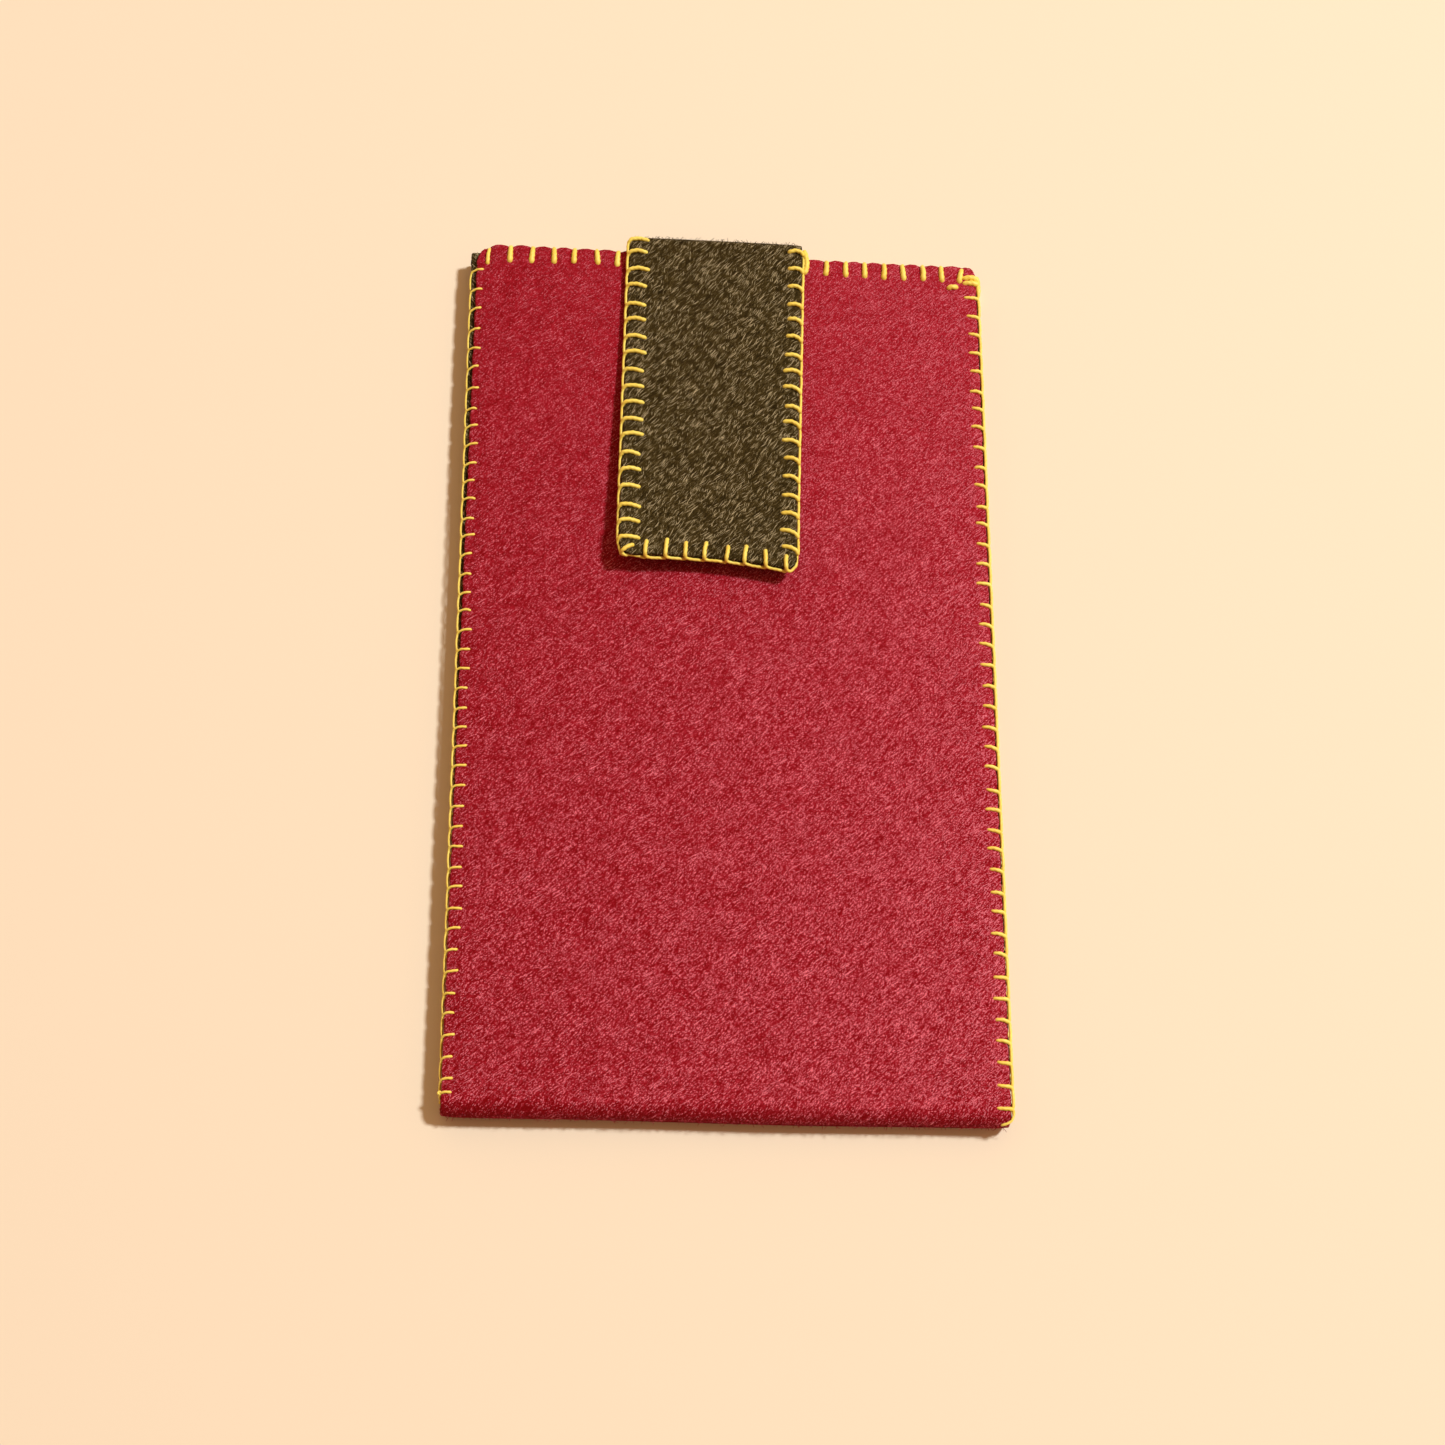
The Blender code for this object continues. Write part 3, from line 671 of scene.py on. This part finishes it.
def tab_height(x, y):
    """How far the tab's flat part lies above its CAD level."""
    across = np.clip(np.abs(x - TAB_X) / (TAB_WIDTH / 2), 0, 1.2)
    down = fraction(BEND_Y - y, 12 * MM)
    freed = fraction(62 * MM - y, 42 * MM)
    droop = (0.25 + 0.45 * down - 0.55 * freed) * MM * across**2.4
    belly = 0.85 * MM * fraction(y - 58 * MM, BEND_Y - 58 * MM)
    ending = fraction(34 * MM - y, 14 * MM) ** 1.5
    corner = fraction(x - TAB_X, TAB_WIDTH / 2) ** 1.5 * ending
    left = fraction(TAB_X - x, TAB_WIDTH / 2) ** 1.5 * fraction(62 * MM - y, 28 * MM)
    lift = 1.1 * MM * ending + 0.4 * MM * corner + 1.5 * MM * left
    return -droop - belly + lift - 0.05 * MM


def tab_place(x, s, n):
    """From the middle of the bend, at s = 0, over the case's top edge and down the front. Below
    s = 0 the same in mirror image, to the root between the back cover's felts."""
    up = np.abs(s)
    root = np.sign(s) < 0
    turn = np.clip((up - BEND_WALL) / TAB_MID, 0, QUARTER)
    reach = TAB_MID + n
    flat = np.clip(up - TAB_FLAT_S, 0, None)
    y = BEND_Y + reach * np.cos(turn) - flat - 0.25 * MM * np.cos(turn)
    rise = np.minimum(up, BEND_WALL) + reach * np.sin(turn)
    highest = BEND_WALL + TAB_MID
    sag = tab_height(x, y) * fraction(rise, highest)
    cut_x, cut_y = hand_cut(x, y)
    middle = (BEND_TOP + BEND_FOOT) / 2
    return columns(
        np.where(root, x, cut_x), np.where(root, y, cut_y),
        np.where(root, middle - rise, middle + rise + sag))


def tab_s(y):
    """Where along the sheet a height on the flat part lies."""
    return TAB_FLAT_S + BEND_Y - y


def tab_row():
    """The tab's stitches, down the left, across the end and up the right."""
    end = tab_s(TAB_END)
    sides, across = TAB_SIDE_STITCHES, TAB_END_STITCHES
    left_corner = sides + 1
    right_corner = left_corner + 1 + across
    places = np.append(TAB_FLAT_S - 0.5 * MM, spread_out(
        TAB_FLAT_S + 0.6 * MM, end - 1.5 * MM, sides, 0.3 * MM))
    feet_left = columns(TAB_LEFT, places)
    end_x = spread_out(TAB_LEFT + 3.2 * MM, TAB_RIGHT - 0.25 * MM, across, 0.25 * MM)
    feet_end = columns(end_x, end)
    places = spread_out(TAB_FLAT_S - 1.15 * MM, end - 2.15 * MM, sides, 0.35 * MM)[::-1]
    feet_right = columns(TAB_RIGHT, places)
    feet = np.concatenate([
        feet_left, [[TAB_LEFT + 0.7 * MM, end - 0.8 * MM]], feet_end,
        [[TAB_RIGHT - 0.65 * MM, end - 0.65 * MM]], feet_right])
    into = np.concatenate([
        np.tile([1.0, 0.03], (sides + 1, 1)), [[0.8, -0.6]], np.tile([0.03, -1.0], (across, 1)),
        [[-0.7, -0.7]], np.tile([-1.0, -0.14], (sides, 1))])
    lengths = np.concatenate([
        rng.uniform(3.3, 3.9, sides + 1), [2.3], rng.uniform(2.6, 3.5, across), [1.0],
        rng.uniform(2.5, 3.2, sides)])
    sewn = np.ones(len(feet), bool)
    sewn[right_corner] = False
    turns = np.ones(len(feet))
    turns[left_corner] = 0
    turns[left_corner + 1:right_corner + 1] = 0.25
    turns[right_corner + 1:] = -1
    return Row(feet, into, lengths * MM, 0.3, sewn, turns)


def tab_sheet(name, offset, row, end_s):
    """A layer of the tab; offset is its middle's distance from the outer one's."""
    xs = grid_lines(
        (TAB_LEFT, TAB_LEFT + 4.6 * MM, TAB_RIGHT - 4.6 * MM, TAB_RIGHT),
        (0.42 * MM, 0.9 * MM, 0.42 * MM))
    if end_s > 0:
        ss = grid_lines((0, TAB_FLAT_S + 2 * MM, end_s - 4.6 * MM, end_s),
                        (0.3 * MM, 0.45 * MM, 0.42 * MM), (False, True))
    else:
        ss = grid_lines((end_s, -TAB_FLAT_S, 0), (0.5 * MM, 0.3 * MM), (True, False))
    x, s = np.meshgrid(xs, ss)
    distance = nearest(x - TAB_LEFT, TAB_RIGHT - x, np.abs(s - end_s))
    if end_s > 0:
        x, s = round_corner(x, s, (TAB_LEFT, end_s), (-1, 1), 3.0 * MM)
        x, s = round_corner(x, s, (TAB_RIGHT, end_s), (1, 1), 2.6 * MM)
    ragged = near(distance, 0.4 * MM) * 0.06 * MM
    x = x + ragged * rng.normal(size=x.shape)
    half = TAB_FELT / 2 * rim_share(distance)
    press = 0
    if end_s > 0:
        x, s = pull_in(x, s, row.legs(), 0.14 * MM)
        press = 0.20 * MM * near(leg_distance(x, s, row.legs()), 0.55 * MM)
        press = press + 0.10 * MM * near(np.clip(distance, 0, None), 1.4 * MM)
    top = offset + half - (0 if offset else press)
    bottom = offset - half + (press if offset else 0)
    return closed_sheet(name, x, s, top, bottom, tab_place)


def make_tab():
    row = tab_row()
    inner = TAB_INNER_MID - TAB_MID
    end = tab_s(TAB_END)
    root, short_root = tab_s(ROOT_LOW.y), tab_s(ROOT_LOW.y + 4 * MM)
    pieces = {name: tab_sheet(name, offset, row, end_s) for name, offset, end_s in (
        ("tab_felt", 0, end), ("tab_lining", inner, end - 0.3 * MM),
        ("tab_root", 0, -root), ("tab_root_lining", inner, -short_root))}

    def face_n(at):
        return TAB_FELT / 2 - 0.20 * MM

    def back_n(at):
        return inner - TAB_FELT / 2 + 0.20 * MM

    path = blanket_path(
        row, face_n, back_n, TAB_THREAD, (0.30 * MM, 0.30 * MM), -0.35 * MM, 0.06 * MM, 0.45 * MM,
        (0.95, 1.0, 0.68), arch=0.30 * MM)
    loop = [(TAB_RIGHT + over * MM, tab_s(y * MM), -0.30 * MM, 1.0) for over, y in (
        (0.2, 90.3), (0.65, 89.2), (1.05, 87.4), (1.0, 85.9), (0.6, 84.8), (0.2, 84.4))]
    loop = smooth_path(loop, 0.26 * MM, 0.3 * MM)
    thread = tubes_object("tab_stitching", [(path, TAB_THREAD), (loop, 0.60 * MM)], tab_place)
    xs = np.arange(TAB_LEFT + 0.8 * MM, TAB_RIGHT - 0.6 * MM, 0.24 * MM)
    span = (TAB_FLAT_S - 2.6 * MM, TAB_FLAT_S - 0.5 * MM)
    pieces["tab_fuzz"] = fuzz("tab_fuzz", xs, span, TAB_FELT / 2, tab_place)
    for piece in (pieces["tab_felt"], pieces["tab_lining"], pieces["tab_fuzz"], thread):
        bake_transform(piece)
    for piece in (pieces["tab_root"], pieces["tab_root_lining"]):
        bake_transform(piece)
    pieces["tab_stitching"] = thread
    return pieces


def anchor_thread():
    """The seam that holds the tab's root to the back cover."""
    y = (ANCHOR_LOW.y + ANCHOR_HIGH.y) / 2
    ends = ((ANCHOR_LOW.x, y), (ANCHOR_HIGH.x, y))
    path = running_path(ends, 2.6 * MM, 1.0 * MM, ANCHOR_LOW.z + 0.12 * MM, ANCHOR_LOW.z - 0.35 * MM)
    return tubes_object("tab_anchor_stitching", [(path, SEAM_THREAD)], level)


# ------------ needle leaf

PINK = 3.0 * MM
PINK_DEPTH = 0.8 * MM


def zigzag(along):
    """Depth of a pinked edge's notches."""
    return PINK_DEPTH * 2 * np.abs(along / PINK - np.floor(along / PINK + 0.5))


def make_leaf():
    """The leaf for the needles, with pinked edges on three sides."""
    across = LEAF_HIGH.x - LEAF_LOW.x
    step_x = across / round(across / PINK) / 4
    step_s = (LEAF_HIGH.y - LEAF_LOW.y) / round((LEAF_HIGH.y - LEAF_LOW.y) / PINK) / 4
    xs = grid_lines((LEAF_LOW.x, LEAF_HIGH.x), (step_x,))
    ss = grid_lines((LEAF_LOW.y, LEAF_HIGH.y), (step_s,))
    x, s = np.meshgrid(xs, ss)
    side = np.minimum(x - LEAF_LOW.x, LEAF_HIGH.x - x)
    top = LEAF_HIGH.y - s
    distance = nearest(side, top, s - LEAF_LOW.y)
    reach = 4 * MM
    in_side = zigzag((s - LEAF_LOW.y) * PINK / (4 * step_s)) * (1 - fraction(side, reach))
    in_top = zigzag((x - LEAF_LOW.x) * PINK / (4 * step_x)) * (1 - fraction(top, reach))
    x = x + np.where(x < 0, 1, -1) * in_side
    s = s - in_top
    half = (LEAF_HIGH.z - LEAF_LOW.z) / 2 * rim_share(distance)
    wave = 0.09 * MM * np.sin(x / (11 * MM) + 1.0) * np.sin(s / (17 * MM))
    y = (LEAF_SEAM_LOW.y + LEAF_SEAM_HIGH.y) / 2
    press = 0.25 * MM * near(s - y, 0.8 * MM)
    middle = (LEAF_LOW.z + LEAF_HIGH.z) / 2
    leaf = closed_sheet(
        "needle_leaf_felt", x, s, middle + wave + half - press, middle + wave - half, level)
    face = LEAF_HIGH.z - 0.25 * MM
    ends = ((LEAF_SEAM_LOW.x, y), (LEAF_SEAM_HIGH.x, y))
    path = running_path(ends, 2.8 * MM, 1.4 * MM, face + 0.16 * MM, LEAF_LOW.z + 0.3 * MM)
    seam = tubes_object("needle_leaf_stitching", [(path, 0.26 * MM)], level)
    for piece in (leaf, seam):
        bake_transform(piece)
    return leaf, seam


# ------------ hook-and-loop patches

def make_patch(node, soft):
    """One half of the closure: a woven tape square, its pile or hooks, and its seam."""
    low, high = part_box(node)

    def place(x, s, n):
        return columns(x, s, low.z + n if soft else high.z - n + tab_height(x, s))

    ground = 0.22 * MM
    xs = grid_lines((low.x, high.x), (0.8 * MM,))
    ss = grid_lines((low.y, high.y), (0.8 * MM,))
    x, s = np.meshgrid(xs, ss)
    distance = nearest(x - low.x, high.x - x, s - low.y, high.y - s)
    for side_x, edge_at in ((-1, low.x), (1, high.x)):
        for side_s, end_at in ((-1, low.y), (1, high.y)):
            x, s = round_corner(x, s, (edge_at, end_at), (side_x, side_s), 1.2 * MM)
    half = ground / 2 * rim_share(distance)
    tape = closed_sheet(node + "_tape", x, s, ground / 2 + half, ground / 2 - half, place)

    pitch = (0.95 if soft else 1.15) * MM
    border = 1.9 * MM
    paths = []
    for row, y in enumerate(np.arange(low.y + border, high.y - border, pitch)):
        for x0 in np.arange(low.x + border + (row % 2) * pitch / 2, high.x - border, pitch):
            base = np.array([x0, y]) + rng.uniform(-0.15, 0.15, 2) * MM
            lie = rng.uniform(0, math.pi) if soft else rng.uniform(-0.2, 0.2)
            paths.append((loop_path if soft else hook_path)(base, lie, ground))
    thickness = (0.055 if soft else 0.09) * MM
    field = tubes_object(
        node + ("_pile" if soft else "_hooks"), [(path, thickness) for path in paths], place,
        sides=6, lobes=0.0)

    inset = 0.85 * MM
    x0, x1, y0, y1 = low.x + inset, high.x - inset, low.y + inset, high.y - inset
    corners = ((x0, y0), (x1, y0), (x1, y1), (x0, y1), (x0, y0 + 0.3 * MM))
    path = running_path(corners, 1.7 * MM, 0.9 * MM, ground + 0.05 * MM, 0.05 * MM)
    seam = tubes_object(node + "_stitching", [(path, 0.16 * MM)], place)
    return tape, field, seam


def loop_path(base, lie, ground):
    """One loop of the soft half's pile, leaning its own way."""
    turn = np.linspace(-0.3 * math.pi, 1.3 * math.pi, 9)
    across = 0.17 * MM * np.cos(turn)
    height = ground + 0.13 * MM + 0.15 * MM * np.sin(turn)
    return columns(
        base[0] + across * math.cos(lie), base[1] + across * math.sin(lie), height, 1)


def hook_path(base, lie, ground):
    """One moulded hook: a stem that turns over at its top."""
    turn = np.linspace(math.pi, -0.15 * math.pi, 7)
    bend = 0.13 * MM
    y = np.concatenate([[0, 0], bend + bend * np.cos(turn)])
    height = ground + np.concatenate([[-0.05 * MM, 0.06 * MM], 0.12 * MM + bend * np.sin(turn)])
    return columns(base[0] + y * math.sin(lie), base[1] + y * math.cos(lie), height, 1)


# ------------ materials

class Nodes:
    """Short forms for building a material's or the world's nodes."""

    def __init__(self, owner):
        owner.use_nodes = True
        self.owner, self.tree = owner, owner.node_tree

    def join(self, value, socket):
        if isinstance(value, bpy.types.NodeSocket):
            self.tree.links.new(value, socket)
        else:
            socket.default_value = value

    def node(self, kind, inputs, **settings):
        """The outputs of a new node with the inputs given."""
        node = self.tree.nodes.new("ShaderNode" + kind)
        for name, value in settings.items():
            setattr(node, name, value)
        for key, value in inputs.items():
            self.join(value, node.inputs[key])
        return node.outputs

    def maths(self, operation, *values):
        return self.node("Math", dict(enumerate(values)), operation=operation)[0]

    def vector(self, operation, *values):
        return self.node("VectorMath", dict(enumerate(values)), operation=operation)[0]

    def slope(self, at, rise):
        """A value that changes evenly over space."""
        return self.node("VectorMath", {0: at, 1: rise}, operation="DOT_PRODUCT")["Value"]

    def flat_place(self):
        """The point's place in its flat sheet, in millimetres."""
        place = self.node("Attribute", {}, attribute_name="flat_place")["Vector"]
        return self.vector("MULTIPLY", place, (1000, 1000, 1000))

    def turned(self, vector, degrees, stretch):
        """The vector turned about the sheet's normal, then stretched per axis."""
        rotation = (0, 0, math.radians(-degrees))
        turned = self.node("Mapping", {"Vector": vector, "Rotation": rotation})[0]
        return self.vector("MULTIPLY", turned, stretch)

    def noise(self, vector, scale, detail=2.0, roughness=0.5):
        return self.node("TexNoise", {
            "Vector": vector, "Scale": scale, "Detail": detail, "Roughness": roughness})

    def span(self, value, low, high, to_low=0.0, to_high=1.0):
        return self.node("MapRange", dict(enumerate((value, low, high, to_low, to_high))))[0]

    def mix(self, factor, first, second):
        first, second = ((*c, 1) if isinstance(c, tuple) else c for c in (first, second))
        return self.node("Mix", {0: factor, 6: first, 7: second}, data_type="RGBA")[2]

    def bump(self, height, strength, distance, **before):
        return self.node("Bump", {
            "Strength": strength, "Distance": distance, "Height": height, **before})[0]

    def finish(self, **looks):
        """The material, with its shader's own inputs joined or set."""
        shader = self.tree.nodes["Principled BSDF"]
        for name, value in looks.items():
            self.join(value, shader.inputs[SHADER_INPUTS[name]])
        return self.owner


SHADER_INPUTS = {
    "colour": "Base Color", "normal": "Normal", "roughness": "Roughness",
    "specular": "Specular IOR Level", "sheen": "Sheen Weight",
    "sheen_roughness": "Sheen Roughness", "sheen_tint": "Sheen Tint"}


def new_material(name):
    return Nodes(bpy.data.materials.new(name))


def fibre_layer(k, at, degrees, shift, stretch, rarity):
    """Lens-shaped fibres that lie one way. The higher the rarity, the fewer of them are light."""
    moved = k.vector("ADD", at, (shift, 1.7 * shift, 0))
    cells = k.node("TexVoronoi", {
        "Vector": k.turned(moved, degrees, (*stretch, 0.6)), "Scale": 1.0})
    lightness = k.node("SeparateColor", {0: cells["Color"]})[0]
    body = k.span(cells["Distance"], 0.48, 0.20)
    return k.maths("MULTIPLY", body, k.maths("POWER", lightness, rarity))


def felt(name, colours, direction, layers, matting=0.5, spots=0.15, painted_sheen_slope=None, rougher=None,
         painted_fold_shade=0.0, rarity=2.0):
    """Needle-punched felt: tangled fibres with a main direction, and lighter loose fibres.
    Each layer is an angle from the main direction and the inverse of a fibre's length and width.
    matting and spots are the strengths of fine and wide unevenness, and rougher is a slope of the
    contrast. painted_sheen_slope is a slope of the tone that paints sheen into the colour, lighter
    towards the lit side, and painted_fold_shade is how much darker the tone is painted around the
    fold, as shade where the fold turns down away from the light."""
    k = new_material(name)
    at = k.flat_place()
    drift = k.vector("SUBTRACT", k.noise(at, 0.06)["Color"], (0.5, 0.5, 0.5))
    warped = k.vector("ADD", at, k.vector("MULTIPLY", drift, (2.5, 2.5, 0)))
    fibres = None
    for i, (turn, stretch) in enumerate(layers):
        layer = fibre_layer(k, warped, direction + turn, 3.1 + 14.3 * i, stretch, rarity)
        fibres = layer if fibres is None else k.maths("MAXIMUM", fibres, layer)
    stray = fibre_layer(k, warped, direction - 14, 77.7, (0.32, 5.4), 9.0)
    fibres = k.maths("MAXIMUM", fibres, k.maths("MULTIPLY", stray, 1.15))
    tangle = k.noise(k.turned(warped, direction, (0.8, 5.2, 0.8)), 1.0, 3.0, 0.6)["Fac"]
    fine = k.noise(at, 5.2, 2.0, 0.6)["Fac"]
    mottle = k.noise(at, 0.26, 4.0, 0.62)["Fac"]
    body = k.maths(
        "ADD", k.span(tangle, 0.3, 0.7, -0.85 * matting, 0.85 * matting),
        k.span(fine, 0.3, 0.7, -0.7 * matting, 0.7 * matting))
    body = k.maths("ADD", body, k.span(mottle, 0.3, 0.7, -spots, spots))
    height = k.maths("ADD", k.maths("MULTIPLY", fibres, 1.4), body)
    tone = height
    if rougher:
        contrast = k.span(k.slope(at, rougher), -0.8, 0.5, 0.65, 1.2)
        tone = k.maths("MULTIPLY", k.maths("SUBTRACT", tone, 0.4), contrast)
        tone = k.maths("ADD", tone, 0.4)
    # Painted sheen: the tone is made lighter towards the side that the light comes from.
    if painted_sheen_slope:
        tone = k.maths("ADD", tone, k.slope(at, painted_sheen_slope))
    # Painted shade: the tone is made darker in a band where the fold turns down away from the light.
    if painted_fold_shade:
        around = (FOLD / MM - 0.2, FOLD / MM - 1.9)
        tone = k.maths("ADD", tone, k.span(k.slope(at, (0, 1, 0)), *around, 0.0, -painted_fold_shade))
    low = k.span(tone, -0.25, 0.40)
    high = k.span(tone, 0.38, 1.15)
    deep, base, light = colours
    coarse = k.bump(mottle, 0.6, 0.3 * MM)
    return k.finish(
        colour=k.mix(high, k.mix(low, deep, base), light),
        normal=k.bump(height, 0.9, 0.10 * MM, Normal=coarse),
        roughness=0.95, specular=0.05, sheen=0.02, sheen_roughness=0.5)


def tape(name, deep, base, thread_size, roughness):
    """Nylon tape: a fine plain weave with slightly uneven threads."""
    k = new_material(name)
    at = k.vector("MULTIPLY", k.flat_place(), (1 / thread_size, 1 / thread_size, 1.0))
    across, along, _ = k.node("SeparateXYZ", {0: at})
    weave = k.maths("MULTIPLY", k.maths("SINE", across), k.maths("SINE", along))
    uneven = k.noise(at, 0.7, 3.0, 0.6)["Fac"]
    height = k.maths("ADD", k.maths("MULTIPLY", weave, 0.3), uneven)
    return k.finish(
        colour=k.mix(k.span(height, 0.2, 0.9), deep, base),
        normal=k.bump(height, 0.5, 0.06 * MM), roughness=roughness)


def thread(name, base, deep):
    """Mercerised cotton: fine strands laid at a slant along the thread."""
    k = new_material(name)
    at = k.flat_place()
    strands = k.noise(k.turned(at, 24, (0.5, 9.0, 1.0)), 1.0, 2.0, 0.6)["Fac"]
    along = k.noise(at, 0.22)["Fac"]
    mixed = k.maths("ADD", k.maths("MULTIPLY", strands, 0.7), k.maths("MULTIPLY", along, 0.3))
    return k.finish(
        colour=k.mix(k.span(mixed, 0.35, 0.62), deep, base),
        normal=k.bump(strands, 0.5, 0.06 * MM),
        roughness=0.5, sheen=0.3, sheen_roughness=0.4, sheen_tint=(1, 0.9, 0.6, 1))


SHORT_FIBRES = (
    (-12, (1.4, 6.2)), (3, (1.15, 5.6)), (17, (1.6, 6.4)), (-50, (2.1, 5.6)))
HAIRS = ((-9, (0.42, 7.0)), (3, (0.36, 6.4)), (13, (0.52, 7.4)), (-34, (0.8, 6.4)))
# The red felt has painted sheen, lighter to the right, and painted shade along the fold.
RED = felt(
    "red_felt", ((0.213, 0.0009, 0.0027), (0.412, 0.013, 0.028), (0.92, 0.222, 0.295)),
    47, SHORT_FIBRES, spots=0.09, painted_sheen_slope=(0.0022, -0.0003, 0),
    rougher=(0.0005, -0.009, 0), painted_fold_shade=0.36)
OLIVE = felt(
    "olive_felt", ((0.013, 0.0075, 0.001), (0.070, 0.046, 0.0115), (0.56, 0.455, 0.265)),
    -50, HAIRS, matting=0.46, spots=0.08, rarity=3.6)
CREAM = felt(
    "cream_felt", ((0.52, 0.42, 0.27), (0.66, 0.56, 0.40), (0.82, 0.76, 0.62)), 30, SHORT_FIBRES)
YELLOW = thread("yellow_thread", (1.0, 0.84, 0.16), (0.86, 0.56, 0.045))
LOOP_TAPE = tape("loop_tape", (0.012, 0.012, 0.011), (0.045, 0.045, 0.042), 0.10, 0.8)
HOOK_TAPE = tape("hook_tape", (0.014, 0.014, 0.013), (0.04, 0.04, 0.038), 0.13, 0.45)


def coat(piece, material, slot):
    piece.data.materials.clear()
    piece.data.materials.append(material)


# ------------ camera, floor and light

def add_camera():
    data = bpy.data.cameras.new("camera")
    data.lens, data.sensor_width = 64.8, 36
    camera = new_object("camera", data)
    camera.location = (-39.6 * MM, -197.0 * MM, 457.8 * MM)
    camera.rotation_euler = [math.radians(angle) for angle in (22.02, -4.90, 0.07)]
    bpy.context.scene.camera = camera


def add_floor():
    half = 1.5
    corners = [(-half, -half, 0), (half, -half, 0), (half, half, 0), (-half, half, 0)]
    mesh = bpy.data.meshes.new("floor")
    mesh.from_pydata(corners, [], [(0, 1, 2, 3)])
    mesh.materials.append(new_material("floor").finish(
        colour=(0.86, 0.735, 0.57, 1), roughness=0.95, specular=0.1))
    new_object("floor", mesh)


def add_light():
    azimuth, elevation, away = math.radians(24), math.radians(56), 3.0
    data = bpy.data.lights.new("key", "AREA")
    data.shape, data.size = "DISK", 0.42
    data.energy = 84.0
    data.color = (0.95, 0.99, 1.0)
    key = new_object("key", data)
    key.location = (
        away * math.cos(elevation) * math.cos(azimuth),
        away * math.cos(elevation) * math.sin(azimuth),
        away * math.sin(elevation))
    key.rotation_euler = Vector(key.location).to_track_quat("Z", "Y").to_euler()


AMBIENT, AMBIENT_SLOPE = 0.48, 0.24


def add_ambient():
    """Soft warm light from all around, strongest from beyond the top edge."""
    world = bpy.data.worlds.new("world")
    k = Nodes(world)
    background = k.tree.nodes["Background"]
    background.inputs["Color"].default_value = (1.0, 0.60, 0.31, 1)
    beyond = k.slope(k.node("TexCoord", {})["Generated"], (0, AMBIENT_SLOPE, 0))
    k.join(k.maths("ADD", beyond, AMBIENT), background.inputs["Strength"])
    bpy.context.scene.world = world
    bpy.context.scene.view_settings.view_transform = "Standard"


# ------------ assembly

add_camera()
add_floor()
add_light()
add_ambient()

for prefix, side in (("front", 1), ("back", -1)):
    cover, outer, lining = make_cover(prefix, side)
    coat(outer, RED, "red_felt")
    coat(lining, OLIVE, "olive_felt")
    spine = ("spine_outer_felt", "spine_lining_felt") if side > 0 else ()
    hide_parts(prefix + "_outer_felt", *spine[:1])
    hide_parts(prefix + "_lining_felt", *spine[1:])
    for piece, edge in zip(cover_threads(cover, prefix, side), ("left", "right", "top")):
        coat(piece, YELLOW, "yellow_thread")
        if edge != "right":
            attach(piece, prefix + "_cover")
        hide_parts(prefix + "_" + edge + "_edge_thread")

fibres = fold_fuzz()
coat(fibres, RED, "red_felt")
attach(fibres, "spine")

tab = make_tab()
for name, piece in tab.items():
    stitched = name == "tab_stitching"
    coat(piece, YELLOW if stitched else OLIVE, "yellow_thread" if stitched else "olive_felt")
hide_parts("tab_outer_felt", "tab_bend_outer_felt")
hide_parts("tab_inner_felt", "tab_bend_inner_felt")
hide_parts("tab_root_felt")
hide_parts("tab_edge_thread")
anchor = anchor_thread()
coat(anchor, YELLOW, "yellow_thread")
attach(anchor, "back_cover")
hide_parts("tab_anchor_thread")

leaf, leaf_seam = make_leaf()
coat(leaf, CREAM, "leaf_felt")
coat(leaf_seam, YELLOW, "yellow_thread")
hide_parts("needle_leaf")
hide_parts("needle_leaf_thread")

for node, body, material, slot in (
    ("loop_patch", "front_cover", LOOP_TAPE, "loop_tape"),
    ("hook_patch", "tab", HOOK_TAPE, "hook_tape"),
):
    ground, field, seam = make_patch(node, node == "loop_patch")
    for piece in (ground, field):
        coat(piece, material, slot)
    coat(seam, YELLOW, "yellow_thread")
    for piece in (ground, field, seam):
        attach(piece, body)
    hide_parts(node)
    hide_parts(node + "_thread")
